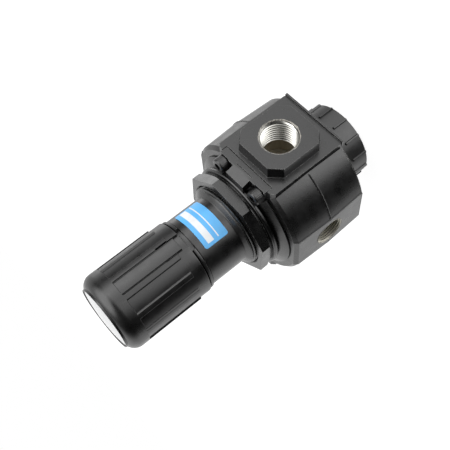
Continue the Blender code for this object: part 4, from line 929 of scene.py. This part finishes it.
def make_thread(looks, name, direction, face, length, root, crest, pitch, mouth, share, metal):
    """A port's metal thread, turned off to a chamfer at its mouth, and the mouth's chipped rim.

    The share of the thread's depth next to its root is painted dark, as shade in its grooves.
    """
    rim = face - THREAD_INSET
    sleeve = helix(name, root, crest, pitch, rim - length, rim, mouth + THREAD_BACKING, mouth=mouth)
    laid(sleeve, direction, (0, 0, PORT_HEIGHT))
    dress(sleeve, looks[metal], "base", "cast_black", sharp=SHARP_THREAD)

    def in_groove_shade(point):
        out = off_axis(point, direction)
        cone = mouth - CHAMFER_SLOPE * (rim - point.dot(Vector(direction)))
        return max(root - share * (root - crest), cone + GROOVE_SHADE_MARGIN) < out < root + MERGE

    # faces deep in the grooves take the painted shade
    second_look(sleeve, looks["thread_groove_shade"], in_groove_shade)
    step = (mouth - root) / CHAMFER_SLOPE
    high, low = rim + RIM_RISE, rim + RIM_RISE - step
    rim_profile = [(mouth + THREAD_BACKING, high), (mouth, high), (root, low), (root + THREAD_BACKING, low)]
    ring = laid(turned(f"{name}_rim", rim_profile), direction, (0, 0, PORT_HEIGHT))
    dress(ring, looks["chipped_rim"], "base", "cast_black")


def make_port_threads(looks):
    """Threads of the two main ports and the two gauge ports."""
    main = (PAD_FACE, PORT_THREAD, PORT_ROOT, PORT_CREST, PORT_PITCH, PORT_MOUTH)
    gauge = (GAUGE_FACE, GAUGE_THREAD, GAUGE_ROOT, GAUGE_CREST, GAUGE_PITCH, GAUGE_MOUTH)
    for name, side in (("outlet_thread", 1), ("inlet_thread", -1)):
        make_thread(looks, name, (side, 0, 0), *main, PORT_GROOVE_SHADE, "bare_metal")
    for name, side in (("front_gauge_thread", -1), ("rear_gauge_thread", 1)):
        make_thread(looks, name, (0, side, 0), *gauge, GAUGE_GROOVE_SHADE, "dull_metal")


# Bonnet
def make_bonnet(looks):
    """Flange, neck core and tube in one turning, with two T lugs."""
    outer = [
        (TUBE_RADIUS - TUBE_BEVEL, TUBE_TOP), (TUBE_RADIUS, TUBE_TOP - TUBE_BEVEL),
        (TUBE_RADIUS, RING_TOP + GAP), (TUBE_RADIUS - GROOVE_DEPTH, RING_TOP + GAP),
        (TUBE_RADIUS - GROOVE_DEPTH, RING_FOOT - GAP), (TUBE_RADIUS, RING_FOOT - GAP),
        (TUBE_RADIUS, TUBE_FOOT), (NECK_ROOT, NECK_TOP), (NECK_ROOT, SHOULDER),
        (SHOULDER_RADIUS, SHOULDER), (FLANGE_RADIUS, BONNET_FOOT + FLANGE_EDGE),
        (FLANGE_RADIUS, BONNET_FOOT), (CHAMBER_RADIUS, BONNET_FOOT),
    ]
    inner = [
        (CHAMBER_RADIUS, FLARE_FOOT), (SPRING_BORE, FLARE_FOOT + FLARE_HEIGHT),
        (SPRING_BORE, BONNET_ROOF), (JOURNAL_BORE, BONNET_ROOF), (JOURNAL_BORE, TUBE_TOP),
    ]
    bonnet = turned("bonnet_casting", rounded(outer, BONNET_EASE) + inner)
    w = TAB_HALF_WIDTH
    for side in (-1, 1):
        bar = between("bar", side, LUG_INNER, LUG_FACE, LUG_HALF_WIDTH, LUG_FOOT, LUG_TOP)
        rings = []
        for z, face in ((LUG_FOOT, LUG_FACE), (LUG_TOP, LUG_FACE), (TAB_TOP, LUG_FACE - TAB_SLOPE)):
            outline = ((TAB_INNER, -w), (face, -w), (face, w), (TAB_INNER, w))
            rings.append([(side * x, y, z) for x, y in outline])
        lug = join(bar, loft("tab", rings))
        for x, y in screw_places():
            if x * side > 0:
                cut(lug, rod("pocket", SCREW_POCKET, SCREW_SEAT, NUT_TOP, x, y, COARSE))
        eased(lug, LUG_EASE)
        back, foot = LUG_FACE - LUG_SLOT_DEPTH, BODY_TOP - LUG_SLOT_WIDTH / 2
        cut(lug, between("slot", side, back, LUG_FACE + OVER, LUG_SLOT_HALF, foot, foot + LUG_SLOT_WIDTH))
        join(bonnet, lug)
    for x, y in screw_places():
        cut(bonnet, rod("pocket", SCREW_POCKET, SCREW_SEAT, SHOULDER - SHOULDER_SKIN, x, y, COARSE))
        cut(bonnet, rod("screw_way", SCREW_HOLE, LUG_FOOT - OVER, SCREW_SEAT + OVER, x, y))
    keyway_low = (-KEYWAY_HALF, -KEYWAY_REACH, KEYWAY_FOOT)
    keyway_high = (KEYWAY_HALF, KEYWAY_REACH, BONNET_ROOF - OVER)
    cut(bonnet, block("keyway", keyway_low, keyway_high))
    dress(bonnet, looks["cast_black"], "base", "cast_black", "bonnet")
    root, backing = NECK_ROOT - NECK_UNDERCUT, NECK_ROOT - NECK_BACKING
    neck = helix("neck_thread", root, NECK_CREST, NECK_PITCH, SHOULDER, NECK_TOP, backing, NECK_FADE)
    dress(neck, looks["cast_black"], "base", "cast_black", sharp=SHARP_THREAD)


# Bonnet screws
def make_screws(looks):
    """Cap screws with a knurled side and a hexagon socket."""
    angles = [tau * k / (4 * SCREW_TEETH) for k in range(4 * SCREW_TEETH)]

    def knurled(angle):
        return SCREW_HEAD_RADIUS - SCREW_TOOTH * (1 + cos(angle * SCREW_TEETH)) / 2

    plain = SCREW_HEAD_RADIUS - SCREW_TOOTH
    rows = [
        (SCREW_TIP, 0.0), (SCREW_TIP, SCREW_RADIUS - SCREW_POINT),
        (SCREW_TIP + SCREW_POINT, SCREW_RADIUS), (SCREW_HEAD_FOOT, SCREW_RADIUS),
        (SCREW_HEAD_FOOT, plain - SCREW_EASE), (SCREW_HEAD_FOOT + SCREW_EASE, plain),
        *[(height, knurled) for height in SCREW_KNURL],
        *[(SCREW_TOP - depth, plain - inset) for depth, inset in SCREW_CROWN],
        (SCREW_TOP, 0.0),
    ]
    for number, (x, y) in enumerate(screw_places(), 1):
        screw = polar(f"cap_screw_{number}", angles, rows)
        socket_foot = SCREW_TOP - SCREW_SOCKET_DEPTH
        cut(screw, prism("socket", 6, SCREW_SOCKET_FLATS, socket_foot, SCREW_TOP + OVER, SCREW_TURN * number))
        screw.data.transform(Matrix.Translation((x, y, 0)))
        dress(screw, looks["black_steel"], "base", "black_steel", f"bonnet_screw_{number}")


# Panel nut
def make_nut(looks):
    """Eight flats with turned-off lower corners, standing on a round flange."""
    corner = NUT_FLATS / 2 / cos(pi / 8)
    chamfer = turned(
        "nut_turning",
        [
            (0, NUT_TOP), (corner - NUT_CORNER_CUT, NUT_TOP),
            (corner + NUT_CORNER_OVER, NUT_TOP - NUT_TOP_CUT),
            (corner + NUT_CORNER_OVER, NUT_FOOT + NUT_CHAMFER_TOP),
            (NUT_FLATS / 2 - NUT_INSET, NUT_FOOT + NUT_CHAMFER_FOOT),
            (NUT_FLATS / 2 - NUT_INSET, NUT_FOOT + NUT_INSET), (0, NUT_FOOT + NUT_INSET),
        ],
    )
    nut = prism("panel_nut_fine", 8, NUT_FLATS, NUT_FOOT, NUT_TOP, NUT_CORNER_ANGLE)
    combine(nut, "INTERSECT", chamfer)
    eased(nut, NUT_EASE)
    edge, inner = NUT_FLANGE_EDGE, NUT_BORE - NUT_INSET
    flange = [
        (NUT_FLANGE_INNER, NUT_FLANGE_TOP + NUT_FLANGE_RISE),
        (NUT_FLANGE_RADIUS - edge, NUT_FLANGE_TOP), (NUT_FLANGE_RADIUS, NUT_FLANGE_TOP - edge),
        (NUT_FLANGE_RADIUS, NUT_FOOT + edge), (NUT_FLANGE_RADIUS - edge, NUT_FOOT),
        (inner, NUT_FOOT),
    ]
    join(nut, turned("nut_flange", rounded(flange, NUT_FLANGE_EASE) + [(inner, NUT_FLANGE_TOP)]))
    lead = NUT_BORE + NUT_LEAD
    bore = [(0, NUT_TOP + OVER), (lead, NUT_TOP + OVER), (lead, NUT_TOP), (NUT_BORE, NUT_TOP - NUT_LEAD)]
    bore += [(NUT_BORE, NUT_FOOT + NUT_LEAD), (lead, NUT_FOOT), (lead, NUT_FOOT - OVER), (0, NUT_FOOT - OVER)]
    cut(nut, turned("nut_bore", bore))
    dress(nut, looks["nut_black"], "panel_nut", "nut_black", "panel_nut")


# Knob
def knob_surface(height):
    """The knob's outer radius at a height, as a function of the angle."""
    ease = KNOB_RIB_SIDE
    along = rib_rise(height - RIB_FOOT, RIB_END_EASE)
    head = rib_rise(height - RIB_HEAD, RIB_END_EASE)
    pad_along = rib_rise(height - PAD_FOOT, PAD_EASE)

    def radius(angle):
        rib = max(rib_rise(KNOB_RIB_HALF - apart(angle, c), ease) for c in KNOB_RIB_CENTRES) * along
        pad = rib_rise(PAD_HALF - apart(angle, PAD_MIDDLE), ease) * pad_along
        return KNOB_RADIUS + max(KNOB_RIB * max(rib, head), PAD_SKIN * pad)

    return radius


def make_knob(looks):
    """A cup with a round end, twelve ribs and a spring tongue between two slots."""
    angles = set(rib_stations(KNOB_RIB_CENTRES, KNOB_RIB_HALF, KNOB_RIB_SIDE, KNOB_FACET))
    angles.update(rib_stations([PAD_MIDDLE], PAD_HALF, KNOB_RIB_SIDE, PAD_FACET))
    rows = [
        (KNOB_HUB_FOOT, 0.0), (KNOB_HUB_FOOT, KNOB_HUB_RADIUS), (KNOB_CAVITY_TOP, KNOB_HUB_RADIUS),
        (KNOB_CAVITY_TOP, KNOB_BORE), (KNOB_FOOT + KNOB_LEAD, KNOB_BORE),
        (KNOB_FOOT, KNOB_BORE + KNOB_LEAD_WIDTH), (KNOB_FOOT, KNOB_RADIUS - KNOB_EDGE),
        (KNOB_FOOT + KNOB_EDGE * CORNER_MIDDLE, KNOB_RADIUS - KNOB_EDGE * CORNER_MIDDLE),
        (KNOB_FOOT + KNOB_EDGE, KNOB_RADIUS),
    ]
    heights = [start + step for start in (PAD_FOOT, RIB_FOOT, RIB_HEAD) for step in RIB_END_STEPS]
    heights += [RIB_FOOT + (RIB_HEAD - RIB_FOOT) * k / KNOB_RIB_LEVELS for k in range(1, KNOB_RIB_LEVELS)]
    rows += [(z, knob_surface(z)) for z in sorted(heights)]
    for k in range(KNOB_ROUNDING_STEPS + 1):
        a = pi / 2 * k / KNOB_ROUNDING_STEPS
        rows.append((KNOB_TOP - KNOB_ROUNDING * (1 - sin(a)), CREST_RADIUS - KNOB_ROUNDING * (1 - cos(a))))
    seat = DISC_RADIUS + GAP
    rows = [row for row in rows if callable(row[1]) or row[0] < KNOB_CROWN or row[1] > seat + KNOB_LIP_WALL]
    foot, root = rows[-1]
    lip, ease = foot + KNOB_LIP, KNOB_LIP_EASE
    rows += [(lip, root - ease), (lip, seat + ease), (lip - ease, seat)]
    rows += [(DISC_FLOOR, seat), (DISC_FLOOR, 0.0)]
    knob = polar("knob_fine", sorted(angles), rows)
    inner, outer = (SPRING_BORE + KNOB_BORE) / 2, 2 * CREST_RADIUS
    left, right = PAD_START - TONGUE_SLOT, PAD_END + TONGUE_SLOT
    notch = sector("notch", left, right, inner, outer, KNOB_FOOT - OVER, PAD_FOOT)
    sides = ((left, PAD_START), (PAD_END, right))
    slots = [sector("slot", a, b, inner, outer, PAD_FOOT - OVER, TONGUE_TOP) for a, b in sides]
    socket = prism("socket", 6, DRIVE_SOCKET_FLATS, KNOB_HUB_FOOT - OVER, DRIVE_TOP + DRIVE_END_PLAY)
    cut(knob, notch, *slots, socket)
    dress(knob, looks["knob_plastic"], "knob", "knob_plastic", "knob", sharp=SHARP_RIBS)


def make_disc(looks):
    """The white disc in the knob's end, domed, with a soft edge."""
    foot, steps = DISC_FLOOR + GAP, DISC_STEPS
    dome = [(DISC_RADIUS * k / steps, KNOB_TOP + DISC_DOME * (1 - (k / steps) ** 2)) for k in range(steps)]
    edge = [(DISC_RADIUS - DISC_EDGE, KNOB_TOP + DISC_SHOULDER), (DISC_RADIUS, KNOB_TOP - DISC_EDGE)]
    edge += [(DISC_RADIUS, foot), (0, foot)]
    disc = turned("end_disc", dome + edge)
    dress(disc, looks["disc_white"], "knob", "disc_white", "knob_disc")


def make_ring(looks):
    """The clip ring, open at the knob's tongue, with soft edges."""
    inner = TUBE_RADIUS - GROOVE_DEPTH + GAP
    e, m = RING_EASE, RING_EASE * CORNER_MIDDLE
    corners = [(inner, RING_FOOT), (RING_RADIUS, RING_FOOT), (RING_RADIUS, RING_TOP), (inner, RING_TOP)]
    section = [corners[0]]
    for (r, z), (dr, dz) in zip(corners[1:3], ((-1, 1), (-1, -1))):
        curve = [(r + dr * e, z), (r + dr * m, z + dz * m), (r, z + dz * e)]
        section += curve if dz > 0 else curve[::-1]
    section.append(corners[3])
    rings = []
    for k in range(RING_STEPS + 1):
        angle = PAD_MIDDLE + RING_OPENING / 2 + (tau - RING_OPENING) * k / RING_STEPS
        rings.append([polar_point(r, angle, z) for r, z in section])
    dress(loft("clip_ring", rings), looks["knob_plastic"], "base", "knob_plastic", "lock_ring")


# Label
def film(name, start, end, foot, head, corner, inner, outer):
    """A thin curved patch with rounded corners."""
    half = (end - start) / 2 * outer
    last = FILM_STEPS - 2
    stations = {half * k / FILM_STEPS for k in range(-last, last + 1)}
    for k in range(FILM_CORNER_STEPS + 1):
        inset = corner * (1 - cos(pi / 2 * k / FILM_CORNER_STEPS))
        stations |= {half - inset, inset - half}
    rings = []
    for s in sorted(stations):
        past = max(abs(s) - (half - corner), 0)
        trim = corner - sqrt(max(corner**2 - past**2, 0)) if past else 0.0
        a = (start + end) / 2 + s / outer
        trim = min(trim, (head - foot) / 2 - FILM_LEAST)
        low, high = foot + trim, head - trim
        section = ((inner, low), (outer, low), (outer, high), (inner, high))
        rings.append([polar_point(r, a, z) for r, z in section])
    return loft(name, rings)


def make_label(looks):
    """A blue film with a plain white bar and a rule, bare of words."""
    foot, height = LABEL_FOOT, LABEL_HEAD - LABEL_FOOT
    layers = (TUBE_RADIUS, LABEL_RADIUS)
    patch = film("label_film", LABEL_START, LABEL_END, foot, LABEL_HEAD, LABEL_CORNER, *layers)
    dress(patch, looks["label_blue"], "base", "label_blue", "label")
    for name, low, high in BARS:
        low, high = foot + low * height, foot + high * height
        bar = film(name, BAR_START, BAR_END, low, high, BAR_CORNER, BAR_INNER, BAR_OUTER)
        dress(bar, looks["label_white"], "base", "label_blue")


# Bottom plug
def make_plug(looks):
    """The ribbed plug with its moulding recess, thread shank and the guide for the valve's tail."""

    def ribbed(height):
        head = rib_rise(PLUG_RIB_HEAD - height, RIB_END_EASE)
        rise = min(head, rib_rise(height - PLUG_RIB_FOOT, PLUG_FOOT_EASE))

        def radius(angle):
            rib = max(rib_rise(PLUG_RIB_HALF - apart(angle, c), PLUG_RIB_SIDE) for c in PLUG_RIB_CENTRES)
            return PLUG_RADIUS + PLUG_RIB * rise * rib

        return radius

    heights = [*PLUG_RIB_LEVELS, *[PLUG_RIB_HEAD - step for step in reversed(RIB_END_STEPS)]]
    rows = [
        (PLUG_CORE_DEPTH, 0.0), (PLUG_CORE_DEPTH, PLUG_CORE_RADIUS - PLUG_CORE_DRAFT),
        (PLUG_FOOT_EASE, PLUG_CORE_RADIUS), (0.0, PLUG_CORE_RADIUS + PLUG_FOOT_EASE),
        (0.0, PLUG_RADIUS - PLUG_EDGE), (PLUG_RIB_FOOT, PLUG_RADIUS - PLUG_EDGE * CORNER_MIDDLE),
        *[(z, ribbed(z)) for z in heights],
        (PLUG_HEAD - PLUG_EDGE, PLUG_RADIUS), (PLUG_HEAD, PLUG_RADIUS - PLUG_EDGE),
        (PLUG_HEAD, PLUG_UNDERCUT), (BODY_FOOT + SEAL_ROOM, PLUG_UNDERCUT),
        (BODY_FOOT + SEAL_ROOM, PLUG_THREAD_RADIUS),
        (PLUG_TOP - PLUG_THREAD_LEAD, PLUG_THREAD_RADIUS),
        (PLUG_TOP, PLUG_THREAD_RADIUS - PLUG_THREAD_LEAD), (PLUG_TOP, PLUG_RECESS_RADIUS),
        (PLUG_RECESS_FLOOR, PLUG_RECESS_RADIUS), (PLUG_RECESS_FLOOR, GUIDE_POST_RADIUS),
        (GUIDE_POST_TOP, GUIDE_POST_RADIUS), (GUIDE_POST_TOP, GUIDE_BORE_RADIUS),
        (GUIDE_BORE_FLOOR, GUIDE_BORE_RADIUS), (GUIDE_BORE_FLOOR, 0.0),
    ]
    angles = rib_stations(PLUG_RIB_CENTRES, PLUG_RIB_HALF, PLUG_RIB_SIDE, PLUG_FACET)
    plug = polar("plug_fine", angles, rows)
    dress(plug, looks["plug_plastic"], "base", "plug_plastic", "bottom_plug", sharp=SHARP_RIBS)


# Springs and the other pieces inside
def make_springs(looks):
    """Copies of the two springs' solids in spring steel, in place of their nodes."""
    for name, seat in (("control_spring", "upper_spring_seat"), ("valve_spring", "valve")):
        low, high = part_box(name)
        node = frame["nodes"][name]
        spring = bpy.data.objects.new(f"{name}_wire", node.data.copy())
        spring.matrix_world = node.matrix_world
        bpy.context.scene.collection.objects.link(spring)
        dress(spring, looks["spring_steel"], None, "spring_steel", name)
        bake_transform(spring)


def dress_inner_nodes(looks):
    """The pieces inside keep their solids and take their slots' finishes."""
    for part in frame["record"]["subparts"]:
        node = frame["nodes"][part["node"]]
        if not node.hide_render:
            for slot in node.material_slots:
                slot.material = looks[part["material_slot"]]


# Camera, fitted to the photograph: place and aim in metres, roll about the line of sight
CAMERA_PLACE = Vector((0.3717, -0.1742, 0.2063))
CAMERA_AIM = Vector((-0.0002, 0.0005, 0.0852))
CAMERA_ROLL = radians(-127.6)
CAMERA_FRAME = 36  # in millimetres, as the lens is
CAMERA_LENS = 63.1


def make_camera():
    """The photograph's view: the part seems to lie on its side, seen from above its outlet port."""
    lens = bpy.data.cameras.new("camera")
    lens.lens = CAMERA_LENS
    lens.sensor_width = CAMERA_FRAME
    lens.clip_start = 0.01
    made = bpy.data.objects.new("camera", lens)
    bpy.context.scene.collection.objects.link(made)
    sight = (CAMERA_AIM - CAMERA_PLACE).to_track_quat("-Z", "Y").to_matrix().to_4x4()
    made.matrix_world = Matrix.Translation(CAMERA_PLACE) @ sight @ Matrix.Rotation(CAMERA_ROLL, 4, "Z")
    bpy.context.scene.camera = made


# Light: a white surround behind the part, as a table is in the photograph, and soft boxes, each with its
# direction, brightness, and the angles from its middle at which it starts and is full, in degrees
SURROUND_TOWARDS = Vector((0.8682, -0.4078, 0.2827))  # away from the white surround
SURROUND_COSINES = (-0.5, 0.1)  # it is white up to the first and gone at the second
SURROUND_LEVEL = 1.2
DIM_SIDE = Vector((0.425, 0.905, 0.0))  # the surround is dimmer on this side
DIM_COSINES = (0.0, 0.55)
DIM_SHARE = 0.45
DARK_LEVEL = 0.005
SOFT_BOXES = (
    ((0.78, -0.02, -0.62), 1.05, 60, 42),
    ((0.62, -0.35, -0.70), 1.15, 34, 20),
    ((0.90, 0.42, 0.03), 1.20, 26, 8),
    ((0.86, 0.41, 0.36), 1.0, 22, 8),
    ((0.45, 0.30, 0.84), 2.3, 44, 16),
    ((-0.24, 0.93, -0.28), 1.8, 15, 4),
)


def make_world():
    """The camera sees white all round; the surround and the soft boxes light the part."""
    world = bpy.data.worlds.new("studio")
    bpy.context.scene.world = world
    world.use_nodes = True
    tree = world.node_tree
    nodes, links = tree.nodes, tree.links
    shader = nodes["Background"]
    shader.inputs["Color"].default_value = (1, 1, 1, 1)
    direction = nodes.new("ShaderNodeTexCoord").outputs["Generated"]

    def level(towards, cosines, low, high):
        """Brightness that goes from low to high between two cosines of the angle to a direction."""
        dot = nodes.new("ShaderNodeVectorMath")
        dot.operation = "DOT_PRODUCT"
        dot.inputs[1].default_value = towards
        links.new(direction, dot.inputs[0])
        ramp = map_range(tree, dot.outputs["Value"], *cosines, low, high)
        ramp.interpolation_type = "SMOOTHSTEP"
        return ramp.outputs["Result"]

    def joined(operation, a, b):
        node = nodes.new("ShaderNodeMath")
        node.operation = operation
        for socket, source in zip(node.inputs, (a, b)):
            if isinstance(source, (int, float)):
                socket.default_value = source
            else:
                links.new(source, socket)
        return node.outputs["Value"]

    backdrop = level(SURROUND_TOWARDS, SURROUND_COSINES, 1.0, 0.0)
    backdrop = joined("MULTIPLY", backdrop, level(DIM_SIDE, DIM_COSINES, 1.0, DIM_SHARE))
    lit = joined("ADD", joined("MULTIPLY", backdrop, SURROUND_LEVEL), DARK_LEVEL)
    for towards, brightness, *angles in SOFT_BOXES:
        cosines = [cos(radians(angle)) for angle in angles]
        lit = joined("ADD", lit, level(Vector(towards).normalized(), cosines, 0.0, brightness))
    path = nodes.new("ShaderNodeLightPath")
    mirrored = joined("MULTIPLY", path.outputs["Is Glossy Ray"], backdrop)
    seen = joined("MAXIMUM", path.outputs["Is Camera Ray"], path.outputs["Is Transmission Ray"])
    seen = joined("MAXIMUM", seen, mirrored)
    unseen = joined("SUBTRACT", 1.0, seen)
    links.new(joined("ADD", seen, joined("MULTIPLY", lit, unseen)), shader.inputs["Strength"])


# Floor
FLOOR_HALF = 3.0
FLOOR_HEIGHT = -0.0002
FLOOR_HIDDEN_FROM = ("diffuse", "glossy", "transmission", "volume_scatter", "shadow")


def make_floor():
    """A pale floor that only the camera sees: light passes it, as it does a light table."""
    bm = bmesh.new()
    signs = ((-1, -1), (1, -1), (1, 1), (-1, 1))
    bm.faces.new([bm.verts.new((a * FLOOR_HALF, b * FLOOR_HALF, FLOOR_HEIGHT)) for a, b in signs])
    mesh = bpy.data.meshes.new("floor")
    bm.to_mesh(mesh)
    bm.free()
    floor = bpy.data.objects.new("floor", mesh)
    bpy.context.scene.collection.objects.link(floor)
    look = bpy.data.materials.new("floor")
    look.use_nodes = True
    nodes, links = look.node_tree.nodes, look.node_tree.links
    paint = nodes["Principled BSDF"]
    paint.inputs["Base Color"].default_value = (0.3, 0.3, 0.3, 1)
    paint.inputs["Roughness"].default_value = 0.9
    paint.inputs["Specular IOR Level"].default_value = 0.0
    paint.inputs["Emission Color"].default_value = (1, 1, 1, 1)
    paint.inputs["Emission Strength"].default_value = 0.94
    mesh.materials.append(look)
    for kind in FLOOR_HIDDEN_FROM:
        setattr(floor, f"visible_{kind}", False)


make_camera()
looks = make_looks()
make_body(looks)
make_flash(looks)
make_port_threads(looks)
make_bonnet(looks)
make_screws(looks)
make_nut(looks)
make_knob(looks)
make_disc(looks)
make_ring(looks)
make_label(looks)
make_plug(looks)
make_springs(looks)
dress_inner_nodes(looks)
make_world()
make_floor()
bpy.context.scene.view_settings.view_transform = "Standard"
